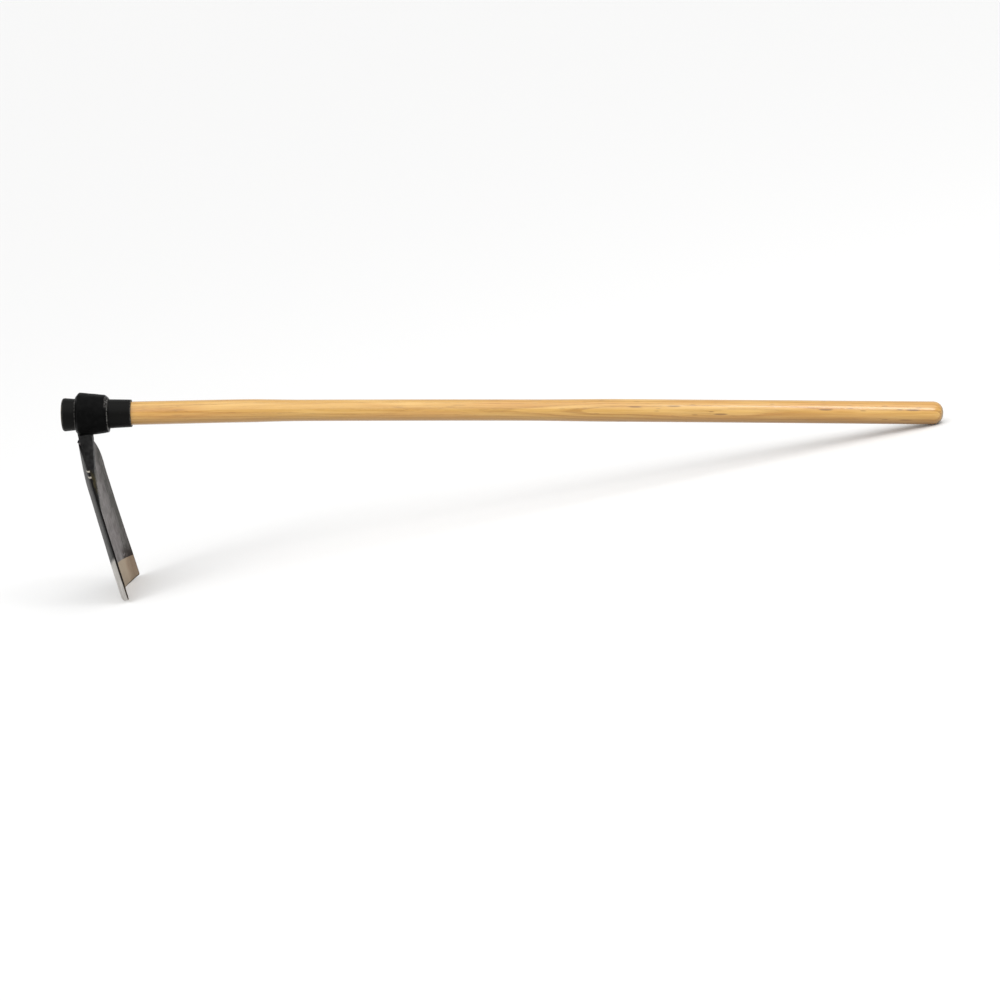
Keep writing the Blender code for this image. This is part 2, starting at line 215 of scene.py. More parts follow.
class Shade:
    """A material while its nodes are laid out."""

    def __init__(self, name: str) -> None:
        """Starts a material with one Principled shader.

        Args:
            name: the material's name.
        """
        self.material = bpy.data.materials.new(name)
        self.material.use_nodes = True
        self.tree = self.material.node_tree
        self.shader = self.tree.nodes["Principled BSDF"]
        self._stock: bpy.types.NodeSocket | None = None

    def node(self, kind: str, settings: dict | None = None, inputs: dict | None = None) -> bpy.types.Node:
        """Adds a node.

        Args:
            kind: the node's type, without its ShaderNode prefix.
            settings: its own settings, which are set first.
            inputs: values or links of its sockets, by name or by place.

        Returns:
            The node.
        """
        made = self.tree.nodes.new("ShaderNode" + kind)
        for name, value in (settings or {}).items():
            setattr(made, name, value)
        for key, value in (inputs or {}).items():
            self.feed(made.inputs[key], value)
        return made

    def read(self, kind: str, settings: dict, inputs: dict, output: str | int = 0) -> Num:
        """Adds a node, and reads one of its outputs as a number.

        Args:
            kind: the node's type.
            settings: its own settings.
            inputs: values or links of its sockets.
            output: the output's name or place.

        Returns:
            The output.
        """
        return Num(self, self.node(kind, settings, inputs).outputs[output])

    def feed(self, socket: bpy.types.NodeSocket, value: object) -> None:
        """Links or sets one input socket.

        Args:
            socket: the input.
            value: a number in the shader, an output socket, or a plain value.
        """
        if isinstance(value, Num):
            value = value.socket
        if isinstance(value, bpy.types.NodeSocket):
            self.tree.links.new(value, socket)
        elif socket.type == "RGBA":
            socket.default_value = (*value, 1)
        else:
            socket.default_value = value

    @property
    def stock(self) -> bpy.types.NodeSocket:
        """The place in the piece's stock, as a vector in metres."""
        if self._stock is None:
            self._stock = self.node("Attribute", {"attribute_name": "stock"}).outputs["Vector"]
        return self._stock

    def attribute(self, name: str) -> Num:
        """A number that the mesh holds at each vertex."""
        return Num(self, self.node("Attribute", {"attribute_name": name}).outputs["Fac"])

    def along(self) -> tuple[Num, Num, Num]:
        """The three coordinates in the stock."""
        split = self.node("SeparateXYZ", {}, {"Vector": self.stock})
        return tuple(Num(self, output) for output in split.outputs)

    def grain(self, stretch: Colour, detail: float = 2.0, distortion: float = 0.0, shift: float = 0.0) -> Num:
        """Noise over the stock.

        Args:
            stretch: how many features there are in a metre, along each coordinate.
            detail: how many finer octaves it has.
            distortion: how far it is warped.
            shift: moves the pattern, so that two of them differ.

        Returns:
            The noise, mostly from 0.3 to 0.7.
        """
        terms = {0: self.stock, 1: stretch, 2: (shift,) * 3}
        scaled = self.node("VectorMath", {"operation": "MULTIPLY_ADD"}, terms)
        inputs = {"Vector": scaled.outputs[0], "Scale": 1.0, "Detail": detail, "Distortion": distortion}
        return self.read("TexNoise", {"noise_dimensions": "3D"}, inputs, "Fac")

    def specks(self, per_metre: Colour, size: float, share: float) -> Num:
        """Specks scattered through the stock.

        Args:
            per_metre: how many cells there are in a metre, along each coordinate.
            size: a speck's radius as a share of its cell.
            share: how many of the cells hold a speck, from 0 to 1.

        Returns:
            1 inside a speck, 0 outside, with a soft rim.
        """
        scaled = self.node("VectorMath", {"operation": "MULTIPLY"}, {0: self.stock, 1: per_metre})
        cells = self.node("TexVoronoi", {"feature": "F1"}, {"Vector": scaled.outputs[0], "Scale": 1.0})
        near = Num(self, cells.outputs["Distance"]).ramp(size, size * 0.5)
        pick = self.node("SeparateXYZ", {}, {"Vector": cells.outputs["Color"]})
        return near * Num(self, pick.outputs["X"]).ramp(1 - share, 1 - share + 0.01)

    def mix(self, factor: "Num | float", first: object, second: object) -> bpy.types.NodeSocket:
        """Mixes two colours.

        Args:
            factor: 0 gives the first, and 1 the second.
            first: a colour, or a socket that holds one.
            second: a colour, or a socket that holds one.

        Returns:
            The mixed colour's socket.
        """
        made = self.node("Mix", {"data_type": "RGBA"}, {"Factor": factor})
        colours = [socket for socket in made.inputs if socket.type == "RGBA"]
        self.feed(colours[0], first)
        self.feed(colours[1], second)
        return next(socket for socket in made.outputs if socket.type == "RGBA")

    def relief(self, height: Num) -> None:
        """Feeds a height in metres to the shader's normal.

        Args:
            height: how far the surface stands out.
        """
        bump = self.node("Bump", {}, {"Height": height, "Strength": 1.0, "Distance": 1.0})
        self.feed(self.shader.inputs["Normal"], bump.outputs["Normal"])

    def finished(self, **inputs: object) -> bpy.types.Material:
        """Sets the shader's sockets.

        Args:
            **inputs: the sockets' values or links, named in lower case with _ for a space.

        Returns:
            The material.
        """
        by_name = {socket.name.lower().replace(" ", "_"): socket for socket in self.shader.inputs}
        for name, value in inputs.items():
            self.feed(by_name[name], value)
        return self.material


# ---------------------------------------------------------------- finishes


@dataclass(frozen=True)
class LacqueredAsh:
    """Ring-porous ash under clear gloss lacquer, plainer at its head and more figured towards the butt.

    Attributes:
        ring: thickness of one year's growth.
        pith: Y and Z of the tree's middle at the head end of the bar.
        drift: how far the pith moves sideways and up for each metre of the bar.
        late: colour of the dense late wood.
        early: colour of the porous early wood.
        warm: colour of the warmer patches.
        pale: colour of the paler fibres.
        pore: colour inside the pores.
        underside_shade: colour of the painted shade along the wood's underside.
        end_grain_and_shade: colour of the butt's end grain, darkened further as painted shade where its dome
            turns from the light, and of a dark spot near it.
        butt_end: X of the butt.
        dome: how far from the butt that darkening begins and is full.
        butt_spot: how far from the butt the dark spot lies, and its Z.
    """

    ring: float = 4.4 * MM
    pith: tuple[float, float] = (-46 * MM, 30 * MM)
    drift: tuple[float, float] = (5 * MM, -24 * MM)
    late: Colour = (0.575, 0.325, 0.074)
    early: Colour = (0.40, 0.195, 0.030)
    warm: Colour = (0.48, 0.215, 0.040)
    pale: Colour = (0.68, 0.43, 0.135)
    pore: Colour = (0.13, 0.055, 0.012)
    underside_shade: Colour = (0.27, 0.135, 0.028)
    end_grain_and_shade: Colour = (0.115, 0.075, 0.026)
    butt_end: float = 1323 * MM
    dome: tuple[float, float] = (7 * MM, 0.5 * MM)
    butt_spot: tuple[float, float] = (6 * MM, -12 * MM)

    def material(self) -> bpy.types.Material:
        """Lays out the wood.

        Returns:
            The material.
        """
        shade = Shade("lacquered_ash")
        x, y, z = shade.along()
        figure = 0.5 + x.ramp(0.35, 0.85) * 0.9
        wander = (shade.grain((2.4, 18, 18)) - 0.5) * (13 * MM) * figure
        ripple = (shade.grain((11, 110, 110), 3.0, shift=1.0) - 0.5) * (2.6 * MM)
        across = y - (x * self.drift[0] + self.pith[0]) + wander
        upward = z - (x * self.drift[1] + self.pith[1]) + ripple
        years = (across * across + upward * upward) ** 0.5 / self.ring
        part = years.fraction()
        year = shade.read("TexWhiteNoise", {"noise_dimensions": "1D"}, {"W": years.whole()}, "Value")
        porous = part.ramp(0.0, 0.09) * part.ramp(0.72, 0.14) * (0.35 + 0.65 * year)
        fibre = shade.grain((13, 520, 520), 3.0)
        hair = shade.grain((40, 2200, 2200), 2.0, shift=15.0)
        patch = shade.grain((4.2, 48, 48), 2.0, shift=7.0)
        glow = shade.grain((6.5, 75, 75), 1.0, shift=23.0)
        pores = shade.grain((70, 2600, 2600), 1.0, shift=3.0).ramp(0.58, 0.70) * porous
        flecks = shade.specks((14, 105, 105), 0.2, 0.5) * (0.25 + x.ramp(0.6, 1.0) * 0.75)
        eyelashes = shade.specks((34, 230, 230), 0.22, 0.4) * (0.2 + x.ramp(0.6, 1.0) * 0.8)
        wood = shade.mix((porous * (0.7 + x.ramp(0.4, 0.9) * 0.6)).limited(), self.late, self.early)
        wood = shade.mix(patch.ramp(0.42, 0.68) * 0.55, wood, self.warm)
        wood = shade.mix(glow.ramp(0.50, 0.72) * 0.45, wood, self.pale)
        wood = shade.mix(fibre.ramp(0.40, 0.72) * 0.30, wood, self.pale)
        wood = shade.mix(fibre.ramp(0.58, 0.34) * 0.28, wood, self.early)
        dark = (pores * 0.65 + flecks * 0.7 + eyelashes * 0.6 + hair.ramp(0.60, 0.70) * 0.18).limited()
        wood = shade.mix(dark, wood, self.pore)
        # Painted shade: the wood is darkened along its underside, a little towards its left side, and more
        # towards the butt.
        under = z.ramp(2 * MM, -15 * MM) + y.ramp(-4 * MM, 15 * MM) * 0.2
        wood = shade.mix((under * (0.65 + x.ramp(0.5, 1.2) * 0.25)).limited(), wood, self.underside_shade)
        # The butt darkens towards its end: partly its thirsty end grain, partly painted shade where its dome
        # turns from the light. A dark spot lies low on its right side.
        dome = x.ramp(self.butt_end - self.dome[0], self.butt_end - self.dome[1])
        along_butt_spot = abs(x - self.butt_end + self.butt_spot[0]).ramp(5 * MM, 1 * MM)
        butt_spot = along_butt_spot * abs(z - self.butt_spot[1]).ramp(4.5 * MM, 1 * MM)
        end = (dome * 0.85 + butt_spot * y.ramp(4 * MM, -4 * MM) * 0.7).limited()
        wood = shade.mix(end, wood, self.end_grain_and_shade)
        shade.relief(fibre * (0.05 * MM) + hair * (0.008 * MM) - pores * (0.03 * MM))
        return shade.finished(
            base_color=wood,
            roughness=0.50 + porous * 0.10,
            specular_ior_level=0.25,
            coat_weight=1.0,
            coat_roughness=0.16,
            coat_ior=1.5,
        )


@dataclass(frozen=True)
class MouldedPlastic:
    """Tough black plastic with the fine frosting of its mould.

    Attributes:
        colour: of the plastic.
        rub_and_highlight: colour where its rims are rubbed, made light enough to paint highlight lines along
            them too.
        shine: how strongly its surface reflects, where 0.5 is usual for a plastic.
    """

    colour: Colour = (0.0026, 0.0025, 0.0022)
    rub_and_highlight: Colour = (0.10, 0.094, 0.082)
    shine: float = 0.085

    def material(self) -> bpy.types.Material:
        """Lays out the plastic.

        Returns:
            The material.
        """
        shade = Shade("black_moulded_plastic")
        frost = shade.grain((2600, 2600, 2600), 2.0)
        cloud = shade.grain((90, 90, 90), 3.0)
        rings = shade.grain((900, 6, 6), 2.0, shift=3.0)
        # The rims are lightened: partly rubbing, partly painted highlight lines along them.
        scuff_and_highlight = shade.attribute("wear_and_highlight") * shade.grain((300, 300, 300), 4.0, shift=4.0).ramp(0.40, 0.60)
        dust = shade.specks((520, 520, 520), 0.16, 0.04)
        colour = shade.mix((scuff_and_highlight * 0.6 + dust * 0.5).limited(), self.colour, self.rub_and_highlight)
        shade.relief(frost * (0.03 * MM) + cloud * (0.12 * MM) + rings * (0.012 * MM))
        return shade.finished(
            base_color=colour,
            roughness=0.36 + cloud * 0.14,
            specular_ior_level=self.shine,
        )


@dataclass(frozen=True)
class ForgedPaint:
    """Thin black paint over forged steel, with its scale and hammering showing through.

    Attributes:
        name: the material's name.
        colour: of the paint.
        thin: colour where the paint is thin.
        rub_and_highlight: colour of steel where an edge is rubbed, also used to paint highlight lines on the
            eye's rims and the light on top of its chamfer.
        tint: colour left by welding heat.
        dust: colour of the specks of dust and bare steel.
        tint_span: where along the stock the tint begins and ends, or nothing.
        roughness: how dull the paint is.
        shine: how strongly its surface reflects, where 0.5 is usual for paint.
    """

    name: str
    colour: Colour = (0.0008, 0.0008, 0.0008)
    thin: Colour = (0.0022, 0.0022, 0.0022)
    rub_and_highlight: Colour = (0.22, 0.21, 0.20)
    tint: Colour = (0.072, 0.060, 0.030)
    dust: Colour = (0.045, 0.044, 0.042)
    tint_span: tuple[float, float] | None = None
    roughness: float = 0.34
    shine: float = 0.045

    def material(self) -> bpy.types.Material:
        """Lays out the paint.

        Returns:
            The material.
        """
        shade = Shade(self.name)
        x, _, _ = shade.along()
        pitting = shade.grain((700, 700, 700), 4.0)
        skin = shade.grain((2400, 2400, 2400), 2.0, shift=2.0)
        cloud = shade.grain((120, 120, 120), 4.0, shift=9.0)
        dust = shade.specks((430, 430, 430), 0.17, 0.06) * cloud.ramp(0.42, 0.6)
        colour = shade.mix(cloud.ramp(0.38, 0.66), self.colour, self.thin)
        if self.tint_span:
            start, end = self.tint_span
            middle, reach = (start + end) / 2, (end - start) / 2
            blotches = shade.grain((80, 130, 130), 3.0, shift=6.0).ramp(0.36, 0.56)
            heat = abs(x - middle).ramp(reach, reach * 0.3) * blotches
            colour = shade.mix(heat * 0.8, colour, self.tint)
        # Lightened edges: rubbed steel, also painted highlight lines on the eye's rims and painted light on top
        # of its chamfer.
        worn = shade.attribute("wear_and_highlight") * shade.grain((330, 330, 330), 4.0, shift=3.0).ramp(0.36, 0.58)
        colour = shade.mix(worn * 0.8, colour, self.rub_and_highlight)
        colour = shade.mix(dust * 0.6, colour, self.dust)
        shade.relief(pitting * (0.14 * MM) + skin * (0.02 * MM))
        return shade.finished(
            base_color=colour,
            metallic=worn * 0.6,
            roughness=self.roughness + pitting * 0.18,
            specular_ior_level=self.shine,
        )


@dataclass(frozen=True)
class PlateSteel:
    """Rolled plate under thin clear grey varnish, ground bare along its cutting edge.

    Attributes:
        scale: colour of the plate's own scale, where it is lightest.
        scale_dark_and_shade: colour of the darker streaks, and of the painted shade towards the left side.
        scale_purple: colour of the purplish patches.
        scale_speck: colour of the light specks.
        back: the dark colour that covers the outer face.
        back_share: how much of the scale shows through on the outer face.
        rim: near black, a painted shade on the sheared rims and in a band on the outer face beside them.
        rim_rust_and_shade: their rust colour towards the cutting edge, also used for the painted shade along
            the cutting edge and the dark band beside the side rims.
        inner_bare: colour of the ground steel on the inner face.
        inner_warm: the reddest tint that the wheel's heat left there.
        inner_far_shade: the painted shade that darkens it towards the left side.
        inner_line_mark: colour of its grinding marks.
        outer_bare: colour of the ground steel on the outer face.
        outer_polish_and_highlight: its brightest polish marks, lightened as painted highlight.
        outer_pit: colour of the pits towards the edge.
        burnt: colour of the heat stain above the inner grinding.
        chip_and_glint: colour of the light spots on the right rim, partly paint rubbed off and partly painted
            highlight.
        inner_line: length down the plate where the inner grinding begins, in the middle and at the sides.
        outer_line: the same for the outer face.
        half_width: half the plate's width at the grinding.
        chips_and_glints: (down, radius) of those spots on the right rim.
    """

    scale: Colour = (0.245, 0.230, 0.227)
    scale_dark_and_shade: Colour = (0.088, 0.085, 0.079)
    scale_purple: Colour = (0.120, 0.095, 0.098)
    scale_speck: Colour = (0.30, 0.29, 0.28)
    back: Colour = (0.015, 0.015, 0.014)
    back_share: float = 0.20
    rim: Colour = (0.0030, 0.0029, 0.0027)
    rim_rust_and_shade: Colour = (0.030, 0.020, 0.012)
    inner_bare: Colour = (0.39, 0.315, 0.232)
    inner_warm: Colour = (0.215, 0.122, 0.072)
    inner_far_shade: Colour = (0.180, 0.124, 0.080)
    inner_line_mark: Colour = (0.42, 0.36, 0.28)
    outer_bare: Colour = (0.36, 0.34, 0.31)
    outer_polish_and_highlight: Colour = (0.74, 0.72, 0.69)
    outer_pit: Colour = (0.09, 0.085, 0.08)
    burnt: Colour = (0.016, 0.010, 0.008)
    chip_and_glint: Colour = (0.34, 0.31, 0.26)
    inner_line: tuple[float, float] = (210 * MM, 217 * MM)
    outer_line: tuple[float, float] = (203 * MM, 179 * MM)
    half_width: float = 75 * MM
    chips_and_glints: tuple[tuple[float, float], ...] = ((35.5 * MM, 1.6 * MM), (45 * MM, 1.9 * MM))

    def material(self) -> bpy.types.Material:
        """Lays out the plate.

        Returns:
            The material.
        """
        shade = Shade("ground_plate")
        down, side, out = shade.along()
        inner = out.ramp(-0.05 * MM, 0.05 * MM)
        across = side / self.half_width
        spread = across * across
        ragged = (shade.grain((160, 420, 0), 4.0) - 0.5) * (2.2 * MM)
        inner_line = self.inner_line[0] + spread * (self.inner_line[1] - self.inner_line[0])
        outer_line = self.outer_line[0] + spread * (self.outer_line[1] - self.outer_line[0])
        past = down + ragged - (inner_line * inner + outer_line * (1 - inner))
        bare = past.ramp(-0.3 * MM, 0.5 * MM) * inner + past.ramp(-6 * MM, 2.5 * MM) * (1 - inner)
        mottle = shade.grain((75, 130, 130), 4.0, distortion=0.6)
        wheel = shade.grain((45, 4200, 60), 3.0, shift=4.0)
        plate = self.rolled(shade, inner, across, mottle)
        stain = past.ramp(-26 * MM, -4 * MM) * inner * across.ramp(0.56, 0.70) * mottle.ramp(0.24, 0.42)
        plate = shade.mix(stain * 0.9, plate, self.burnt)
        ground = self.ground(shade, inner, across)
        colour = shade.mix(bare, plate, ground)
        edge_gap, side_gap = shade.attribute("edge_gap"), shade.attribute("side_gap")
        # Painted shade: a dark band along the cutting edge on the inner face. A narrower dark band runs beside
        # the side rims.
        edge_shade = edge_gap.ramp(2.4 * MM, 0.7 * MM) * 0.9 * inner
        side_dark_band = side_gap.ramp(1.5 * MM, 0.4 * MM) * 0.55
        colour = shade.mix((side_dark_band + edge_shade).limited(), colour, self.rim_rust_and_shade)
        # Painted shade: the side rims are near black, with a painted shadow band on the outer face beside them.
        # Lower down, the rims turn rust brown in patches.
        rim_shadow = side_gap.ramp(8 * MM, 5 * MM) * (1 - inner) * (1 - bare)
        rim = (side_gap.ramp(0.40 * MM, 0.30 * MM) + rim_shadow * 0.95).limited()
        rim_colour = shade.mix(down.ramp(0.17, 0.23) * mottle.ramp(0.36, 0.56), self.rim, self.rim_rust_and_shade)
        colour = shade.mix(rim, colour, rim_colour)
        # Partly painted highlight, partly paint rubbed off: two light spots on the right rim.
        chipped_and_glinting = self.chipped_and_glinting(down, side) * rim
        colour = shade.mix(chipped_and_glinting, colour, self.chip_and_glint)
        scratches = wheel * (0.012 * MM) * bare
        shade.relief(mottle * (0.10 * MM) * (1 - bare) + scratches - bare * (0.12 * MM))
        return shade.finished(
            base_color=colour,
            metallic=(0.40 + bare * 0.50) * (1 - rim) * (1 - stain * 0.95),
            roughness=0.44 + mottle * 0.14 - bare * 0.10 + wheel * bare * 0.12,
            specular_ior_level=0.12,
        )

    def rolled(self, shade: Shade, inner: Num, across: Num, mottle: Num) -> bpy.types.NodeSocket:
        """The colour of the rolled plate, streaky along its length, with painted shade towards its left side.

        Args:
            shade: the material.
            inner: 1 on the inner face.
            across: the place across, from -1 to 1.
            mottle: the plate's patchiness.

        Returns:
            The colour.
        """
        streaks = shade.grain((9, 520, 40), 4.0, shift=2.0)
        drawn = shade.grain((3, 120, 30), 2.0, shift=19.0)
        dark = streaks.ramp(0.34, 0.68) * 0.35 + mottle.ramp(0.38, 0.66) * 0.35 + drawn.ramp(0.4, 0.62) * 0.15
        # Painted shade: the plate darkens towards its left side.
        dark = dark + across.ramp(0.60, 0.90) * 0.60 - 0.06
        plate = shade.mix(dark.limited(), self.scale, self.scale_dark_and_shade)
        purple = shade.grain((14, 45, 45), 2.0, shift=12.0).ramp(0.45, 0.7)
        plate = shade.mix(purple * 0.3, plate, self.scale_purple)
        specks = shade.specks((190, 700, 190), 0.2, 0.10)
        plate = shade.mix(specks * 0.35, plate, self.scale_speck)
        back = (1 - inner) * (1 - self.back_share) * (0.94 + mottle.ramp(0.35, 0.6) * 0.10)
        return shade.mix(back.limited(), plate, self.back)

    def ground(self, shade: Shade, inner: Num, across: Num) -> bpy.types.NodeSocket:
        """The colour of the ground steel: tan on the inner face, with painted shade towards its left side, and
        light on the outer face, where its polish marks are lightened further as painted highlight.

        Args:
            shade: the material.
            inner: 1 on the inner face.
            across: the place across, from -1 to 1.

        Returns:
            The colour.
        """
        lines = shade.grain((10, 1500, 60), 2.0, shift=8.0)
        warm = shade.grain((35, 35, 35), 2.0, shift=6.0).ramp(0.40, 0.60) * across.ramp(0.60, 0.80)
        tan = shade.mix(warm * 0.75, self.inner_bare, self.inner_warm)
        # Painted shade: the inner ground steel darkens towards its left side.
        tan = shade.mix(across.ramp(0.56, 0.86) * 0.85, tan, self.inner_far_shade)
        tan = shade.mix(lines.ramp(0.42, 0.68) * 0.28, tan, self.inner_line_mark)
        # Partly painted highlight: the outer ground steel lightens towards white in its polish marks.
        cloud = shade.grain((60, 90, 60), 3.0, shift=31.0)
        polish_and_highlight = (lines.ramp(0.4, 0.66) * 0.45 + cloud.ramp(0.40, 0.70) * 0.25).limited()
        bright = shade.mix(polish_and_highlight, self.outer_bare, self.outer_polish_and_highlight)
        pits = shade.specks((420, 420, 420), 0.28, 0.25) * shade.attribute("edge_gap").ramp(26 * MM, 6 * MM)
        bright = shade.mix(pits * 0.7, bright, self.outer_pit)
        return shade.mix(inner, bright, tan)

    def chipped_and_glinting(self, down: Num, side: Num) -> Num:
        """Where the right rim is lightened: partly paint rubbed off, partly painted highlight.

        Args:
            down: the length from the top edge.
            side: the distance from the middle plane.

        Returns:
            1 in a spot, 0 elsewhere.
        """
        spots = [abs(down - place).ramp(radius, radius * 0.5) for place, radius in self.chips_and_glints]
        return (spots[0] + spots[1]) * side.ramp(-50 * MM, -52 * MM)


@dataclass(frozen=True)
class StudioFloor:
    """Plain pale painted floor.

    Attributes:
        colour: of the paint.
    """

    colour: Colour = (0.76, 0.76, 0.758)

    def material(self) -> bpy.types.Material:
        """Lays out the floor.

        Returns:
            The material.
        """
        return Shade("pale_floor").finished(base_color=self.colour, roughness=0.75, specular_ior_level=0.15)


# ---------------------------------------------------------------- shaping


@dataclass(frozen=True)
class Stance:
    """How the tool stands in the frame.

    Attributes:
        matrix: takes the tool's own coordinates to the frame's.
    """

    matrix: Matrix

    @classmethod
    def from_record(cls, record: dict, head_end: float) -> "Stance":
        """Finds the stance from the mount on the handle's head end.

        Args:
            record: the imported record.
            head_end: X of that mount in the tool's own coordinates.

        Returns:
            The stance.
        """
        mount = next(entry for entry in record["mounts"] if entry["name"] == "head_end")
        forward = -Vector(mount["axis"]).normalized()
        sideways = Vector((0, 1, 0))
        upward = forward.cross(sideways)
        turn = Matrix((forward, sideways, upward)).transposed().to_4x4()
        eye = Vector(mount["pos_m"]) - forward * head_end
        return cls(Matrix.Translation(eye) @ turn)


class Blank:
    """A piece while it is shaped, in the straight coordinates of its stock."""

    def __init__(self) -> None:
        """Starts an empty blank."""
        self.mesh = bmesh.new()

    @classmethod
    def turned(cls, corners: Sequence[Corner], closed: bool, step: float, sides: int) -> "Blank":
        """Turns a profile about X.

        Args:
            corners: (along, radius, cut) of each corner. It is rounded from this far before and after it.
            closed: whether the last corner joins the first, as on a ring.
            step: the longest edge that is left along the profile.
            sides: how many sides the round has.

        Returns:
            The turned blank.
        """
        blank = cls()
        mesh = blank.mesh
        points = [mesh.verts.new((along, 0, radius)) for along, radius, _ in corners]
        ends = points[1:] + points[:1] if closed else points[1:]
        for first, second in zip(points, ends):
            mesh.edges.new((first, second))
        for point, (_, _, cut) in zip(points, corners):
            if cut:
                blank.round_off([point], cut, 6, "VERTICES")
        for edge in [edge for edge in mesh.edges if edge.calc_length() > step]:
            cuts = math.ceil(edge.calc_length() / step) - 1
            bmesh.ops.subdivide_edges(mesh, edges=[edge], cuts=cuts)
        bmesh.ops.spin(
            mesh,
            geom=mesh.verts[:] + mesh.edges[:],
            cent=(0, 0, 0),
            axis=(1, 0, 0),
            angle=2 * math.pi,
            steps=sides,
            use_merge=True,
        )
        return blank.sealed()

    @classmethod
    def bar(cls, start: float, end: float, cuts: int, front_round: float) -> "Blank":
        """A bar along X, 2 wide along Y and 1 high along Z, with its two upper long edges rounded.

        Args:
            start: X of its first end.
            end: X of its last end.
            cuts: how many pieces its length is cut into.
            front_round: how far from each upper edge the round begins.

        Returns:
            The bar.
        """
        blank = cls()
        mesh = blank.mesh
        bmesh.ops.create_cube(mesh, size=1)
        bmesh.ops.translate(mesh, verts=mesh.verts[:], vec=(0.5, 0, 0.5))
        bmesh.ops.scale(mesh, verts=mesh.verts[:], vec=(end - start, 2, 1))
        bmesh.ops.translate(mesh, verts=mesh.verts[:], vec=(start, 0, 0))
        upper = [
            edge
            for edge in mesh.edges
            if all(vertex.co.z > 0.5 for vertex in edge.verts)
            and abs(edge.verts[0].co.x - edge.verts[1].co.x) > (end - start) / 2
        ]
        blank.round_off(upper, front_round, 6, "EDGES")
        for step in range(1, cuts):
            blank.slice_at(start + (end - start) * step / cuts)
        return blank

    @classmethod
    def rod(cls, length: float, radius: float, cuts: int, sides: int = 16) -> "Blank":
        """A round rod along X from 0, with domed ends.

        Args:
            length: of the rod.
            radius: of the rod.
            cuts: how many pieces its length is cut into.
            sides: how many sides it has.

        Returns:
            The rod.
        """
        corners = ((0, 0, 0), (0, radius, radius * 0.7), (length, radius, radius * 0.7), (length, 0, 0))
        return cls.turned(corners, False, length / cuts, sides)

    def round_off(self, geometry: Sequence, offset: float, segments: int, affect: str) -> None:
        """Bevels edges, or corners of a profile, to a round.

        Args:
            geometry: the edges or vertices.
            offset: how far from them the round begins.
            segments: how many flats the round has.
            affect: EDGES or VERTICES.
        """
        bmesh.ops.bevel(
            self.mesh,
            geom=list(geometry),
            offset=offset,
            offset_type="OFFSET",
            affect=affect,
            segments=segments,
            profile=0.5,
            material=-1,
            clamp_overlap=True,
        )

    def slice_at(self, along: float) -> None:
        """Cuts a loop of edges at this X."""
        self.split((along, 0, 0), (1, 0, 0))

    def split(self, point: Corner, direction: Corner, clear: bool = False) -> None:
        """Cuts the mesh with a plane.

        Args:
            point: a point of the plane.
            direction: the plane's normal.
            clear: whether what lies behind the plane is taken away.
        """
        bmesh.ops.bisect_plane(
            self.mesh,
            geom=self.mesh.verts[:] + self.mesh.edges[:] + self.mesh.faces[:],
            plane_co=point,
            plane_no=direction,
            dist=MERGE,
            clear_inner=clear,
        )

    def sealed(self) -> "Blank":
        """Merges doubled vertices and turns every face outwards.

        Returns:
            The blank itself.
        """
        bmesh.ops.remove_doubles(self.mesh, verts=self.mesh.verts[:], dist=MERGE)
        bmesh.ops.recalc_face_normals(self.mesh, faces=self.mesh.faces[:])
        return self

    def shape(self, placing: Placing) -> None:
        """Moves every vertex to where placing puts it."""
        for vertex in self.mesh.verts:
            vertex.co = placing(vertex.co)

    def mark(self, name: str, measure: Callable[[Vector], float]) -> None:
        """Stores a number at each vertex.

        Args:
            name: the attribute's name.
            measure: gives the number from the vertex's place.
        """
        layer = self.mesh.verts.layers.float.new(name)
        for vertex in self.mesh.verts:
            vertex[layer] = measure(vertex.co)

    def hammer(self, depth: float, size: float, seed: float, stretch: Colour = (1, 1, 1)) -> None:
        """Makes the surface uneven, along its normals.

        Args:
            depth: about how far it goes in and out.
            size: about how far apart two dents are.
            seed: moves the pattern.
            stretch: how much longer a dent is along each coordinate.
        """
        self.mesh.normal_update()
        shift = Vector((seed, seed * 1.7, seed * 2.3))
        moves = []
        for vertex in self.mesh.verts:
            place = Vector([vertex.co[axis] / (size * stretch[axis]) for axis in range(3)]) + shift
            moves.append((vertex, vertex.normal * depth * noise.noise(place)))
        for vertex, move in moves:
            vertex.co += move

    def keep_stock(self) -> None:
        """Stores each vertex's place in the stock."""
        layer = self.mesh.verts.layers.float_vector.new("stock")
        for vertex in self.mesh.verts:
            vertex[layer] = vertex.co

    def wear_and_highlight_flat(self, height: float) -> None:
        """Cuts away what reaches under this height, and closes the cut."""
        self.split((0, 0, height), (0, 0, 1), clear=True)
        open_edges = [edge for edge in self.mesh.edges if edge.is_boundary]
        if open_edges:
            bmesh.ops.holes_fill(self.mesh, edges=open_edges, sides=0)

    def place(self, stance: Stance) -> None:
        """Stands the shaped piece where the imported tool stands."""
        bmesh.ops.transform(self.mesh, matrix=stance.matrix, verts=self.mesh.verts[:])

    def finish(self, name: str, material: bpy.types.Material, slot: Slot, nodes: Sequence[str] = ()) -> None:
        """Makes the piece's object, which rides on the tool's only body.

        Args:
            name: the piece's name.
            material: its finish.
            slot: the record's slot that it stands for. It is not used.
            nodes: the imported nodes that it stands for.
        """
        data = bpy.data.meshes.new(name)
        self.mesh.normal_update()
        self.mesh.to_mesh(data)
        self.mesh.free()
        data.shade_smooth()
        data.set_sharp_from_angle(angle=math.radians(50))
        data.materials.append(material)
        piece = bpy.data.objects.new(name, data)
        bpy.context.scene.collection.objects.link(piece)
        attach(piece, BODY)
        if nodes:
            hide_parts(*nodes)
        log.info("%s: %d faces, for %s", name, len(data.polygons), ", ".join(nodes) or "no node")


# ---------------------------------------------------------------- handle and sleeve


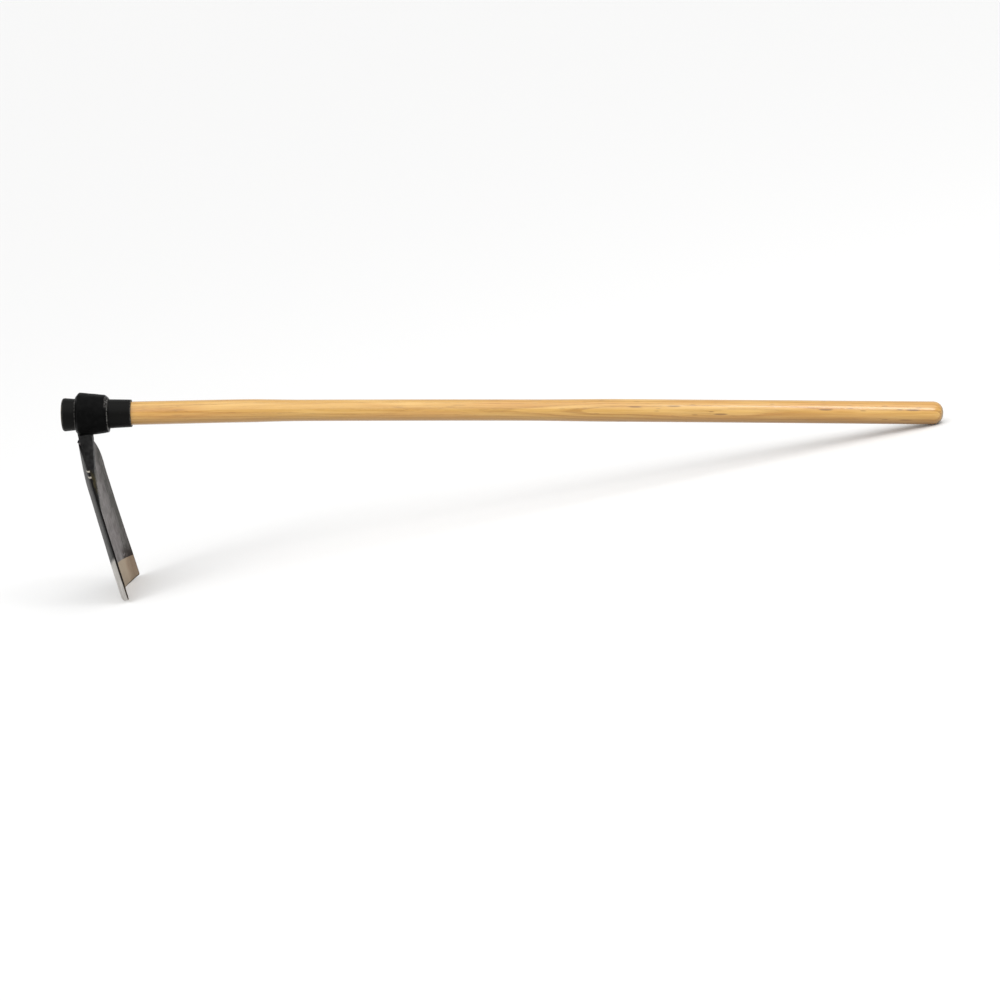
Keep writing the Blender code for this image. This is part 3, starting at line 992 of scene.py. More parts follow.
@dataclass
class Handle:
    """The turned ash handle, with two gentle bends.

    Attributes:
        head_end: X of its end inside the eye.
        butt_end: X of its far end, measured along the bar.
        stations: (along, radius) from the swell in the eye to the butt.
        bends: (start, end, slope) of each bend. The slope is what it adds.
        butt_round: how far from the end the butt's round begins.
        chamfer: cut of the head end's rim.
        sides: how many sides the bar has.
        step: length of its mesh faces.
        sanding: how far the hand-sanded surface goes in and out.
    """

    head_end: float = -46.8 * MM
    butt_end: float = 1323 * MM
    stations: tuple[tuple[float, float], ...] = (
        (-46.8 * MM, 21.7 * MM),
        (60 * MM, 18.3 * MM),
        (230 * MM, 18.1 * MM),
        (330 * MM, 16.7 * MM),
        (680 * MM, 16.7 * MM),
        (820 * MM, 17.8 * MM),
        (1323 * MM, 17.9 * MM),
    )
    bends: tuple[tuple[float, float, float], ...] = (
        (150 * MM, 350 * MM, 0.021),
        (350 * MM, 1050 * MM, 0.011),
    )
    butt_round: float = 15.5 * MM
    chamfer: float = 0.8 * MM
    sides: int = 96
    step: float = 5 * MM
    sanding: float = 0.07 * MM

    def radius(self, along: float) -> float:
        """The bar's radius at this length."""
        return between(self.stations, along)

    def bent(self, place: Vector) -> Vector:
        """Bends a point of the straight bar.

        Args:
            place: the point in the straight bar.

        Returns:
            The point in the tool.
        """
        height = -sum(slope * smooth_step_area(place.x, start, end) for start, end, slope in self.bends)
        slope = -sum(slope * smooth_step(place.x, start, end) for start, end, slope in self.bends)
        upward = Vector((-slope, 0, 1)).normalized()
        return Vector((place.x, place.y, height)) + upward * place.z

    def build(self, stance: Stance) -> None:
        """Turns, sands and bends the handle.

        Args:
            stance: where the tool stands.
        """
        span = self.butt_end - self.head_end
        count = round(span / (4 * self.step))
        middle = [self.head_end + span * index / count for index in range(1, count)]
        corners = [
            (self.head_end, 0, 0),
            (self.head_end, self.radius(self.head_end), self.chamfer),
            *((along, self.radius(along), 0) for along in middle),
            (self.butt_end, self.radius(self.butt_end), self.butt_round),
            (self.butt_end, 0, 0),
        ]
        blank = Blank.turned(corners, False, self.step, self.sides)
        blank.hammer(self.sanding, 14 * MM, 3.0, (6, 1, 1))
        blank.keep_stock()
        blank.shape(self.bent)
        blank.place(stance)
        blank.finish("handle", LacqueredAsh(butt_end=self.butt_end).material(), Slot.ASH, ["shaft"])


@dataclass
class Sleeve:
    """The tapered plastic sleeve that wedges the handle in the eye.

    Attributes:
        handle: the handle that it sits on.
        grip_end: (X, radius) of its thin end.
        lip_start: (X, radius) of where its lip begins to flare.
        head_end: (X, radius) of its thick end.
        rim_round: how far from the thick end's corner its round begins.
        edge_round: the same at the thin end.
        seat: clear space round the wood.
        seam_height: how far the mould's parting line stands out.
        seam_width: half its width.
        sides: how many sides the round has.
        moulding: how far the moulded surface goes in and out.
        mesh_step: length of its mesh faces.
    """

    handle: Handle
    grip_end: tuple[float, float] = (61.2 * MM, 21.4 * MM)
    lip_start: tuple[float, float] = (-28.5 * MM, 24.65 * MM)
    head_end: tuple[float, float] = (-46.5 * MM, 26.3 * MM)
    rim_round: float = 4.6 * MM
    edge_round: float = 0.5 * MM
    seat: float = 0.03 * MM
    seam_height: float = 0.16 * MM
    seam_width: float = 0.5 * MM
    sides: int = 144
    moulding: float = 0.05 * MM
    mesh_step: float = 1.5 * MM

    def radius(self, along: float) -> float:
        """The outer radius of the long taper."""
        (grip_x, grip_radius), (lip_x, lip_radius) = self.grip_end, self.lip_start
        return grip_radius + (lip_radius - grip_radius) * (grip_x - along) / (grip_x - lip_x)

    def with_seam(self, place: Vector) -> Vector:
        """Raises the mould's parting line, which runs along both sides.

        Args:
            place: a point of the plain sleeve.

        Returns:
            The point, moved out where the line is.
        """
        outward = Vector((0, place.y, place.z))
        if outward.length < self.radius(place.x) - 1.5 * MM:
            return place
        rise = self.seam_height * (1 - smooth_step(abs(place.z), 0, 2 * self.seam_width))
        return place + outward.normalized() * rise

    def build(self, stance: Stance) -> None:
        """Turns the sleeve, and raises its parting line.

        Args:
            stance: where the tool stands.
        """
        bore_stations = 6
        (grip_x, grip_radius), (head_x, head_radius) = self.grip_end, self.head_end
        bore = [head_x + (grip_x - head_x) * index / bore_stations for index in range(bore_stations + 1)]
        corners = [
            (grip_x, grip_radius, self.edge_round),
            (*self.lip_start, 1.5 * MM),
            (head_x, head_radius, self.rim_round),
            *((along, self.handle.radius(along) + self.seat, 0) for along in bore),
        ]
        blank = Blank.turned(corners, True, self.mesh_step, self.sides)
        blank.shape(self.with_seam)
        blank.mark("wear_and_highlight", self.wear_and_highlight)
        blank.hammer(self.moulding, 9 * MM, 5.0)
        blank.keep_stock()
        blank.place(stance)
        blank.finish("moulded_sleeve", MouldedPlastic().material(), Slot.SLEEVE, ["taper_sleeve"])

    def wear_and_highlight(self, place: Vector) -> float:
        """How much a point is lightened: most on both rims, partly as rubbing and partly as painted highlight
        lines.

        Args:
            place: the point.

        Returns:
            The lightening, from 0 to 1.
        """
        # Both rims are lightened: partly rubbing, partly painted highlight lines.
        at_head = smooth_step(-place.x, -self.head_end[0] - 3.5 * MM, -self.head_end[0] - 1.0 * MM)
        at_grip = smooth_step(place.x, self.grip_end[0] - 1.0 * MM, self.grip_end[0] - 0.3 * MM)
        return at_head + at_grip


# ---------------------------------------------------------------- head


@dataclass
class EyeRing:
    """The forged eye, a heavy ring that tapers towards the grip.

    Attributes:
        sleeve: the sleeve that fills it.
        half_length: half its length along X.
        head_shoulder: (X, radius) of its thickest place.
        grip_shoulder: (X, radius) of where its grip-side chamfer begins.
        head_face: outer radius of its face towards the head's end.
        grip_face: outer radius of its face towards the grip.
        shoulder_round: how far from the thickest place its round begins.
        edge_round: the same at the other corners.
        hammering: how far the forged surface goes in and out.
        sides: how many sides the round has.
        mesh_step: length of its mesh faces.
        seat: clear space round the sleeve.
        bore_round: how far from the bore's corners their round begins.
    """

    sleeve: Sleeve
    half_length: float = 25.7 * MM
    head_shoulder: tuple[float, float] = (-20.2 * MM, 34.2 * MM)
    grip_shoulder: tuple[float, float] = (20 * MM, 29.6 * MM)
    head_face: float = 27 * MM
    grip_face: float = 25.2 * MM
    shoulder_round: float = 1.6 * MM
    edge_round: float = 0.7 * MM
    hammering: float = 0.42 * MM
    sides: int = 144
    mesh_step: float = 1.4 * MM
    seat: float = 0.02 * MM
    bore_round: float = 0.3 * MM

    def build(self, stance: Stance) -> None:
        """Turns and hammers the ring.

        Args:
            stance: where the tool stands.
        """
        corners = [
            (self.half_length, self.grip_face, self.edge_round),
            (*self.grip_shoulder, self.edge_round),
            (*self.head_shoulder, self.shoulder_round),
            (-self.half_length, self.head_face, self.edge_round),
            (-self.half_length, self.sleeve.radius(-self.half_length) + self.seat, self.bore_round),
            (self.half_length, self.sleeve.radius(self.half_length) + self.seat, self.bore_round),
        ]
        blank = Blank.turned(corners, True, self.mesh_step, self.sides)
        blank.mark("wear_and_highlight", self.wear_and_highlight)
        blank.shape(self.dressed)
        blank.hammer(self.hammering, 11 * MM, 8.0)
        blank.hammer(self.hammering * 0.3, 3.5 * MM, 2.0)
        blank.keep_stock()
        blank.place(stance)
        blank.finish("forged_eye", ForgedPaint("black_painted_eye").material(), Slot.FORGING, ["eye_ring"])

    def taper(self, along: float) -> float:
        """The outer radius along its long taper."""
        (head_x, head_radius), (grip_x, grip_radius) = self.head_shoulder, self.grip_shoulder
        return head_radius + (grip_radius - head_radius) * (along - head_x) / (grip_x - head_x)

    def dressed(self, place: Vector) -> Vector:
        """Keeps the chamfer towards the grip on top only: lower down the rim is left full.

        Args:
            place: a point of the ring with an even chamfer.

        Returns:
            The point, moved out where the rim is full.
        """
        start, start_radius = self.grip_shoulder
        share = (place.x - start) / (self.half_length - start)
        if share <= 0:
            return place
        outward = Vector((0, place.y, place.z))
        bore = self.sleeve.radius(place.x)
        chamfered = start_radius + (self.grip_face - start_radius) * share
        full = self.taper(place.x) - 0.3 * MM * share
        left = 1 - smooth_step(place.z / outward.length, 0.35, 0.85)
        reach = 1 + left * ((full - bore) / (chamfered - bore) - 1)
        return Vector((place.x, 0, 0)) + outward.normalized() * (bore + (outward.length - bore) * reach)

    def wear_and_highlight(self, place: Vector) -> float:
        """How much a point is lightened: on the rims of both faces, partly as rubbing and partly as painted
        highlight lines, and on top of the chamfer, as painted highlight.

        Args:
            place: a point of the ring with an even chamfer.

        Returns:
            The lightening, from 0 to 1.
        """
        radius = math.hypot(place.y, place.z)
        # The rims of both faces: partly rubbing, partly painted highlight lines.
        near_grip = smooth_step(place.x, self.half_length - 0.9 * MM, self.half_length - 0.4 * MM)
        grip_rim = near_grip * smooth_step(radius, self.grip_face - 1.2 * MM, self.grip_face - 0.7 * MM)
        head_rim = smooth_step(-place.x, self.half_length - 1.2 * MM, self.half_length - 0.6 * MM)
        # Painted highlight: the top of the chamfer is lightened where the light falls on it.
        on_top = smooth_step(place.z / radius, 0.45, 0.8)
        chamfer = smooth_step(place.x, self.grip_shoulder[0], self.grip_shoulder[0] + 1 * MM) * on_top * 0.5
        return min(1.0, grip_rim * 0.8 + head_rim + chamfer)


@dataclass
class Blade:
    """The dished blade. Its stock is flat: X runs down it, Y across it, and Z out of its inner face.

    Attributes:
        top: X and Z of its top edge's middle.
        length: of its middle line.
        thickness: of the plate.
        edge_thickness: of the cutting edge.
        dish_radius: of its curve across.
        top_half_width: half its width at the top edge.
        shoulder_half_width: half its width below the shoulders.
        shoulder_length: how far down the shoulders reach.
        flare: how much each side widens from the top to the edge.
        crown: how much shorter it is at its corners than in its middle.
        corner: radius of its two lower corners.
        corner_wear: how far its right corner is worn back.
        leans: how far it leans from the tool's Z, at its top and at its edge.
        lean_change: where the lean changes.
        rows: how many mesh rows run down it.
        columns: how many run across it.
        thinning: how far from the edge the grinding thins it.
        rim_round: how far from its sharp edges their round begins.
        worn_flat: height of the floor that the edge is worn to.
    """

    top: tuple[float, float] = (-21.8 * MM, -42 * MM)
    length: float = 254.5 * MM
    thickness: float = 3.0 * MM
    edge_thickness: float = 1.6 * MM
    dish_radius: float = 146.5 * MM
    top_half_width: float = 26 * MM
    shoulder_half_width: float = 69.4 * MM
    shoulder_length: float = 58 * MM
    flare: float = 6.6 * MM
    crown: float = 3.2 * MM
    corner: float = 2.4 * MM
    corner_wear_and_highlight: float = 2.8 * MM
    leans: tuple[float, float] = (math.radians(6.9), math.radians(13.3))
    lean_change: tuple[float, float] = (30 * MM, 80 * MM)
    rows: int = 150
    columns: int = 72
    thinning: float = 40 * MM
    rim_round: float = 0.32 * MM
    worn_flat: float = 0.02 * MM

    def half_width(self, down: float) -> float:
        """Half the blade's width: a quarter ellipse down each shoulder, and sides that flare to the edge.

        Args:
            down: the length from the top edge.

        Returns:
            The half width.
        """
        left = 1 - min(1.0, max(0.0, down / self.shoulder_length))
        shoulder = (self.shoulder_half_width - self.top_half_width) * math.sqrt(1 - left**2)
        return self.top_half_width + shoulder + self.flare * (down / self.length) ** 2

    def lean(self, down: float) -> float:
        """How far the blade leans at this length."""
        return self.leans[0] + (self.leans[1] - self.leans[0]) * smooth_step(down, *self.lean_change)

    def centre(self, down: float) -> Vector:
        """The middle line's point at this length, summed in short straight steps.

        Args:
            down: the length from the top edge.

        Returns:
            The point in the tool.
        """
        steps = 60
        x, z = self.top
        for step in range(steps):
            lean = self.lean(down * (step + 0.5) / steps)
            x += math.sin(lean) * down / steps
            z -= math.cos(lean) * down / steps
        return Vector((x, 0, z))

    def bent(self, place: Vector) -> Vector:
        """Dishes and bends a point of the flat plate.

        Args:
            place: the point in the flat plate.

        Returns:
            The point in the tool.
        """
        down, side, out = place
        lean = self.lean(down)
        turn = math.asin(side / self.dish_radius)
        forward = Vector((math.cos(lean), 0, math.sin(lean)))
        dish = self.dish_radius * (1 - math.cos(turn))
        normal = forward * math.cos(turn) - Vector((0, math.sin(turn), 0))
        return self.centre(down) + forward * dish + Vector((0, side, 0)) + normal * out

    def cut_out(self, place: Vector) -> Vector:
        """Moves a point of a square grid to its place in the flat plate.

        The columns crowd towards the sides, and the rows towards the top and the edge.

        Args:
            place: the point of the grid, from -1 to 1 both ways.

        Returns:
            The point in the flat plate.
        """
        crowd = 1.35
        across = math.sin(crowd * place.x) / math.sin(crowd)
        share = (1 - place.y) / 2
        share = share**1.5 * (1 - share) + share * math.sin(share * math.pi / 2)
        corner_start = 1 - self.corner / (self.shoulder_half_width + self.flare)
        past = max(0.0, (abs(across) - corner_start) / (1 - corner_start))
        worn = self.corner_wear_and_highlight * smooth_step(-across, 0.72, 1.0)
        length = self.length - self.crown * across**2 - self.corner * (1 - math.sqrt(1 - past**2)) - worn
        down = length * share
        return Vector((down, across * self.half_width(down), 0))

    def gauge(self, down: float, side: float) -> float:
        """Half the plate's thickness, which the grinding takes down to the edge's.

        Args:
            down: the length from the top edge.
            side: the distance from the middle plane.

        Returns:
            Half the thickness.
        """
        left = max(0.0, self.length - self.crown * (side / self.half_width(down)) ** 2 - down)
        full, thin = self.thickness / 2, self.edge_thickness / 2
        return thin + (full - thin) * min(1.0, left / self.thinning)

    def build(self, stance: Stance) -> None:
        """Cuts, thins, rounds, dishes and wears the blade.

        Args:
            stance: where the tool stands.
        """
        blank = Blank()
        mesh = blank.mesh
        bmesh.ops.create_grid(mesh, x_segments=self.columns, y_segments=self.rows, size=1)
        blank.shape(self.cut_out)
        raised = bmesh.ops.extrude_face_region(mesh, geom=mesh.faces[:])["geom"]
        upper = {vertex for vertex in raised if isinstance(vertex, bmesh.types.BMVert)}
        for vertex in mesh.verts:
            vertex.co.z = self.gauge(vertex.co.x, vertex.co.y) * (1 if vertex in upper else -1)
        blank.sealed()
        mesh.normal_update()
        rims = [edge for edge in mesh.edges if edge.calc_face_angle(0) > math.radians(50)]
        blank.round_off(rims, self.rim_round, 3, "EDGES")
        blank.mark("side_gap", lambda place: self.half_width(place.x) - abs(place.y))
        blank.mark("edge_gap", self.edge_gap)
        blank.keep_stock()
        blank.shape(self.dressed)
        blank.shape(self.bent)
        blank.place(stance)
        blank.wear_and_highlight_flat(self.worn_flat)
        blank.finish("hoe_blade", PlateSteel().material(), Slot.BLADE, ["blade"])

    def edge_gap(self, place: Vector) -> float:
        """How far a point is from the cutting edge."""
        return self.length - self.crown * (place.y / self.half_width(place.x)) ** 2 - place.x

    def dressed(self, place: Vector) -> Vector:
        """Makes the rolled plate and its sheared rims slightly uneven.

        Args:
            place: the point in the flat plate.

        Returns:
            The point, moved.
        """
        wave = noise.noise(Vector((place.x / (38 * MM), place.y / (26 * MM), 4.0)))
        ripple = noise.noise(Vector((place.x / (6 * MM), 9.0 * math.copysign(1, place.y), 2.0)))
        near_rim = smooth_step(abs(place.y) / self.half_width(place.x), 0.97, 1.0)
        shift = Vector((0, math.copysign(0.14 * MM, place.y) * ripple * near_rim, 0.22 * MM * wave))
        return place + shift


@dataclass
class Tang:
    """The neck under the eye and the tang down the blade's inner face: one forged bar, in the blade's stock.

    Attributes:
        blade: the blade that it is welded to.
        start: how far above the blade's top edge the bar begins, inside the eye's wall.
        length: how far down the blade the tang reaches.
        depth: how far the bar stands out of the blade at its top.
        tip_depth: the same at its tip.
        depth_power: how the depth falls: 1 is a straight taper.
        half_widths: half its width at its top and at its tip.
        front_share: how wide its front is, as a share of its back.
        tip: length over which the tip is rounded.
        neck_back: how far the neck reaches back from the middle of the plate, above the blade's top edge.
        bedding: how far the bar is let into the blade's inner face.
        cuts: how many mesh rows run down it.
    """

    blade: Blade
    start: float = -16 * MM
    length: float = 143 * MM
    depth: float = 19.5 * MM
    tip_depth: float = 1.0 * MM
    depth_power: float = 1.05
    half_widths: tuple[float, float] = (12.5 * MM, 3.5 * MM)
    front_share: float = 0.86
    tip: float = 7 * MM
    neck_back: float = 0.4 * MM
    bedding: float = 0.3 * MM
    cuts: int = 130

    def share(self, down: float) -> float:
        """How far down the tang this is, from 0 to 1."""
        return min(1.0, max(0.0, down / self.length))

    def depth_at(self, down: float) -> float:
        """How far the bar stands out at this length."""
        taper = 1 - self.share(down) ** self.depth_power
        return self.tip_depth + (self.depth - self.tip_depth) * taper

    def half_width_at(self, down: float) -> float:
        """Half the bar's width at this length."""
        top, tip = self.half_widths
        width = top + (tip - top) * self.share(down)
        left = min(1.0, max(0.0, (self.length - down) / self.tip))
        return width * math.sqrt(max(0.0, 1 - (1 - left) ** 2)) if left < 1 else width

    def forged(self, place: Vector) -> Vector:
        """Draws the plain bar out to its taper, in the blade's stock.

        Args:
            place: the point of the plain bar.

        Returns:
            The point of the tapered bar.
        """
        inner_face = self.blade.thickness / 2 - self.bedding
        back = -self.neck_back + (inner_face + self.neck_back) * smooth_step(place.x, -1.2 * MM, 0.2 * MM)
        front = inner_face + self.depth_at(place.x)
        width = self.half_width_at(place.x) * (1 - (1 - self.front_share) * place.z)
        return Vector((place.x, place.y * width, back + place.z * (front - back)))

    def build(self, stance: Stance) -> None:
        """Forges, hammers and bends the bar.

        Args:
            stance: where the tool stands.
        """
        blank = Blank.bar(self.start, self.length - 0.02 * MM, self.cuts, 0.16)
        self.widen_mesh(blank)
        blank.shape(self.forged)
        blank.sealed()
        blank.hammer(0.38 * MM, 9 * MM, 6.0, (1.8, 1, 1))
        blank.hammer(0.12 * MM, 3 * MM, 1.0)
        blank.keep_stock()
        blank.shape(self.blade.bent)
        blank.place(stance)
        finish = ForgedPaint(
            "black_painted_tang",
            colour=(0.013, 0.013, 0.013),
            thin=(0.030, 0.030, 0.030),
            tint_span=(44 * MM, 92 * MM),
            roughness=0.42,
            shine=0.12,
        )
        blank.finish("neck_and_tang_bar", finish.material(), Slot.FORGING, ["neck_and_tang"])

    def widen_mesh(self, blank: Blank) -> None:
        """Cuts the plain bar along its length, so that its faces can be uneven too.

        Args:
            blank: the plain bar.
        """
        for side in (-0.75, -0.5, -0.25, 0.0, 0.25, 0.5, 0.75):
            blank.split((0, side, 0), (0, 1, 0))
        for height in (0.2, 0.4, 0.6, 0.8):
            blank.split((0, 0, height), (0, 0, 1))


# ---------------------------------------------------------------- welds


@dataclass
class Welds:
    """The rippled beads that join eye, neck and blade, and the spatter round them.

    Attributes:
        blade: the blade.
        tang: the tang.
        eye: the eye ring.
        eye_bead: radius of the bead under the eye.
        tang_bead: radius of the two beads beside the tang.
        top_bead: radius of the bead on the blade's outer face, behind the neck.
        tang_span: where down the blade the tang's beads begin and end.
        ripple: distance between two ripples.
        ripple_depth: how deep they are, as a share of the bead's radius.
        droplets: how many droplets of spatter there are.
        seed: of the droplets' places.
        top_margin: how much shorter the top bead is than the neck is wide, at each end.
        neck_corner: radius of the eye bead's turns.
        finish: the paint over the beads.
    """

    blade: Blade
    tang: Tang
    eye: EyeRing
    eye_bead: float = 1.7 * MM
    tang_bead: float = 1.9 * MM
    top_bead: float = 1.3 * MM
    tang_span: tuple[float, float] = (2 * MM, 114 * MM)
    ripple: float = 1.7 * MM
    ripple_depth: float = 0.13
    droplets: int = 46
    seed: int = 7
    top_margin: float = 0.6 * MM
    neck_corner: float = 3 * MM
    finish: ForgedPaint = field(
        default_factory=lambda: ForgedPaint(
            "black_painted_weld",
            colour=(0.011, 0.011, 0.011),
            thin=(0.024, 0.024, 0.024),
            roughness=0.3,
            shine=0.15,
        )
    )

    def rippled(self, radius: float) -> Placing:
        """Presses ripples into a straight rod, each one an arc that trails behind the middle.

        Args:
            radius: of the rod.

        Returns:
            A function that moves the rod's points.
        """

        def move(place: Vector) -> Vector:
            """Moves one point of the rod in or out."""
            lag = abs(place.y) / radius * 0.55 * self.ripple
            wave = math.sin(2 * math.pi * (place.x + lag) / self.ripple)
            uneven = noise.noise(Vector((place.x / (7 * MM), radius / MM, 3.0)))
            swell = 1 + self.ripple_depth * wave + 0.14 * uneven
            return Vector((place.x, place.y * swell, place.z * swell))

        return move

    def bead(
        self, name: str, length: float, radius: float, placing: Placing, stance: Stance, nodes: list[str]
    ) -> None:
        """Lays one bead.

        Args:
            name: the piece's name.
            length: of the bead.
            radius: of the bead.
            placing: takes a point of the straight bead to the tool.
            stance: where the tool stands.
            nodes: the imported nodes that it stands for.
        """
        blank = Blank.rod(length, radius, round(length / (self.ripple / 7)))
        blank.shape(self.rippled(radius))
        blank.keep_stock()
        blank.shape(placing)
        blank.sealed()
        blank.place(stance)
        blank.finish(name, self.material, Slot.WELD, nodes)

    def beside_tang(self, side: Side) -> Placing:
        """Lays a straight bead into the corner between tang and blade.

        Args:
            side: which side of the tang.

        Returns:
            A function that moves the bead's points.
        """

        def move(place: Vector) -> Vector:
            """Moves one point of the bead."""
            down = self.tang_span[0] + place.x
            fade = 1 - 0.55 * smooth_step(down, self.tang_span[1] - 40 * MM, self.tang_span[1])
            across = self.tang.half_width_at(down) + 0.35 * MM + side.value * place.y * fade
            out = self.blade.thickness / 2 + 0.5 * MM + place.z * fade
            return self.blade.bent(Vector((down, side.value * across, out)))

        return move

    def along_top(self, place: Vector) -> Vector:
        """Lays a straight bead on the blade's outer face, along the seam under the back of the neck."""
        half = self.tang.half_widths[0] - self.top_margin
        out = -self.blade.thickness / 2 - 0.4 * MM - place.z
        return self.blade.bent(Vector((place.y * 0.8 - 0.1 * MM, place.x - half, out)))

    def neck_line(self) -> list[Vector]:
        """Points just under the eye, along one side of the neck, round its front and along its other side.

        Returns:
            The points in the tool, evenly spaced.
        """
        down = self.eye.head_shoulder[1] + self.blade.top[1]
        back = self.blade.bent(Vector((down, 0, -self.tang.neck_back))).x + 1.5 * MM
        front = self.blade.bent(Vector((down, 0, self.blade.thickness / 2 + self.tang.depth))).x + 0.2 * MM
        half_y = self.tang.half_widths[0] + 0.3 * MM
        count = 160
        corner = Vector((front - self.neck_corner, half_y - self.neck_corner, 0))
        turns = [math.pi / 2 * step / 8 for step in range(9)]
        half = [Vector((back, half_y, 0))]
        half += [corner + self.neck_corner * Vector((math.sin(turn), math.cos(turn), 0)) for turn in turns]
        outline = self.evenly(half + [Vector((point.x, -point.y, 0)) for point in reversed(half)], count)
        return [Vector((x, y, -math.sqrt(self.eye.taper(x) ** 2 - y**2))) for x, y, _ in outline]

    @staticmethod
    def evenly(points: Sequence[Vector], count: int) -> list[Vector]:
        """Spaces points evenly along the line through them.

        Args:
            points: the line's points.
            count: how many equal stretches there are to be.

        Returns:
            The new points, one more than the stretches.
        """
        lengths = [0.0]
        for first, second in zip(points, points[1:]):
            lengths.append(lengths[-1] + (second - first).length)
        made, index = [], 0
        for step in range(count + 1):
            target = lengths[-1] * step / count
            while index < len(points) - 2 and lengths[index + 1] < target:
                index += 1
            stretch = lengths[index + 1] - lengths[index]
            made.append(points[index].lerp(points[index + 1], (target - lengths[index]) / max(stretch, 1e-9)))
        return made

    def round_neck(self, line: Sequence[Vector]) -> Placing:
        """Lays a straight bead round the neck.

        Args:
            line: evenly spaced points round the neck.

        Returns:
            A function that moves the bead's points.
        """
        count = len(line) - 1
        length = self.line_length(line)

        def move(place: Vector) -> Vector:
            """Moves one point of the bead."""
            position = min(max(place.x / length, 0.0), 1.0) * count
            index = min(int(position), count - 1)
            here = line[index].lerp(line[index + 1], position - index)
            forward = (line[min(index + 2, count)] - line[max(index - 1, 0)]).normalized()
            outward = Vector((-forward.y, forward.x, 0)).normalized()
            across = forward.cross(outward)
            return here + outward * place.y + across * place.z + Vector((0, 0, -0.3 * MM))

        return move

    @staticmethod
    def line_length(line: Sequence[Vector]) -> float:
        """The length of the line through these points."""
        return sum((second - first).length for first, second in zip(line, line[1:]))

    def spatter(self, stance: Stance) -> None:
        """Scatters droplets of weld metal on the neck and beside the tang. Some of them are bare.

        Args:
            stance: where the tool stands.
        """
        draw = random.Random(self.seed)
        blank = Blank()
        bare = blank.mesh.verts.layers.float.new("wear_and_highlight")
        for _ in range(self.droplets):
            down = draw.uniform(-7, 90) * MM
            side = draw.choice(list(Side)).value
            radius = draw.uniform(0.25, 0.65) * MM
            shine = float(draw.random() < 0.4)
            share = draw.uniform(0.1, 0.9)
            away = draw.uniform(3.5, 13) * MM
            depth, half_width = self.tang.depth_at(down), self.tang.half_width_at(down)
            if down < 12 * MM:
                place = Vector((down, side * half_width * (1 - 0.14 * share), depth * share))
            elif share < 0.4:
                place = Vector((down, side * half_width * share, self.blade.thickness / 2 + depth))
            else:
                place = Vector((down, side * (half_width + away), self.blade.thickness / 2))
            droplet = bmesh.ops.create_icosphere(blank.mesh, subdivisions=2, radius=radius)["verts"]
            for vertex in droplet:
                vertex.co = place + vertex.co
                vertex[bare] = shine
        blank.keep_stock()
        blank.shape(self.blade.bent)
        blank.place(stance)
        blank.finish("weld_spatter", self.material, Slot.WELD)

    def build(self, stance: Stance) -> None:
        """Lays every bead, and the spatter.

        Args:
            stance: where the tool stands.
        """
        self.material = self.finish.material()
        length = self.tang_span[1] - self.tang_span[0]
        for side in Side:
            node = f"tang_weld_{side.name.lower()}"
            placing = self.beside_tang(side)
            self.bead(node.replace("weld", "bead"), length, self.tang_bead, placing, stance, [node])
        top_length = 2 * (self.tang.half_widths[0] - self.top_margin)
        self.bead("blade_top_bead", top_length, self.top_bead, self.along_top, stance, ["blade_top_weld"])
        line = self.neck_line()
        placing = self.round_neck(line)
        self.bead("eye_bead", self.line_length(line), self.eye_bead, placing, stance, ["eye_weld"])
        self.spatter(stance)


# ---------------------------------------------------------------- studio


@dataclass(frozen=True)
class Softbox:
    """A rectangular diffused lamp.

    Attributes:
        name: the lamp's name.
        aim: (x, y, z) in the frame that it points at.
        towards: direction from its aim to the lamp.
        distance: from its aim.
        size: (width, height). Its width is level.
        radiance: how bright its face is.
    """

    name: str
    aim: Corner
    towards: Corner
    distance: float
    size: tuple[float, float]
    radiance: float

    def hang(self) -> None:
        """Adds the lamp."""
        direction = Vector(self.towards).normalized()
        data = bpy.data.lights.new(self.name, "AREA")
        data.shape = "RECTANGLE"
        data.size, data.size_y = self.size
        data.energy = self.radiance * math.pi * self.size[0] * self.size[1]
        lamp = bpy.data.objects.new(self.name, data)
        lamp.location = Vector(self.aim) + direction * self.distance
        lamp.rotation_euler = direction.to_track_quat("Z", "Y").to_euler()
        bpy.context.scene.collection.objects.link(lamp)


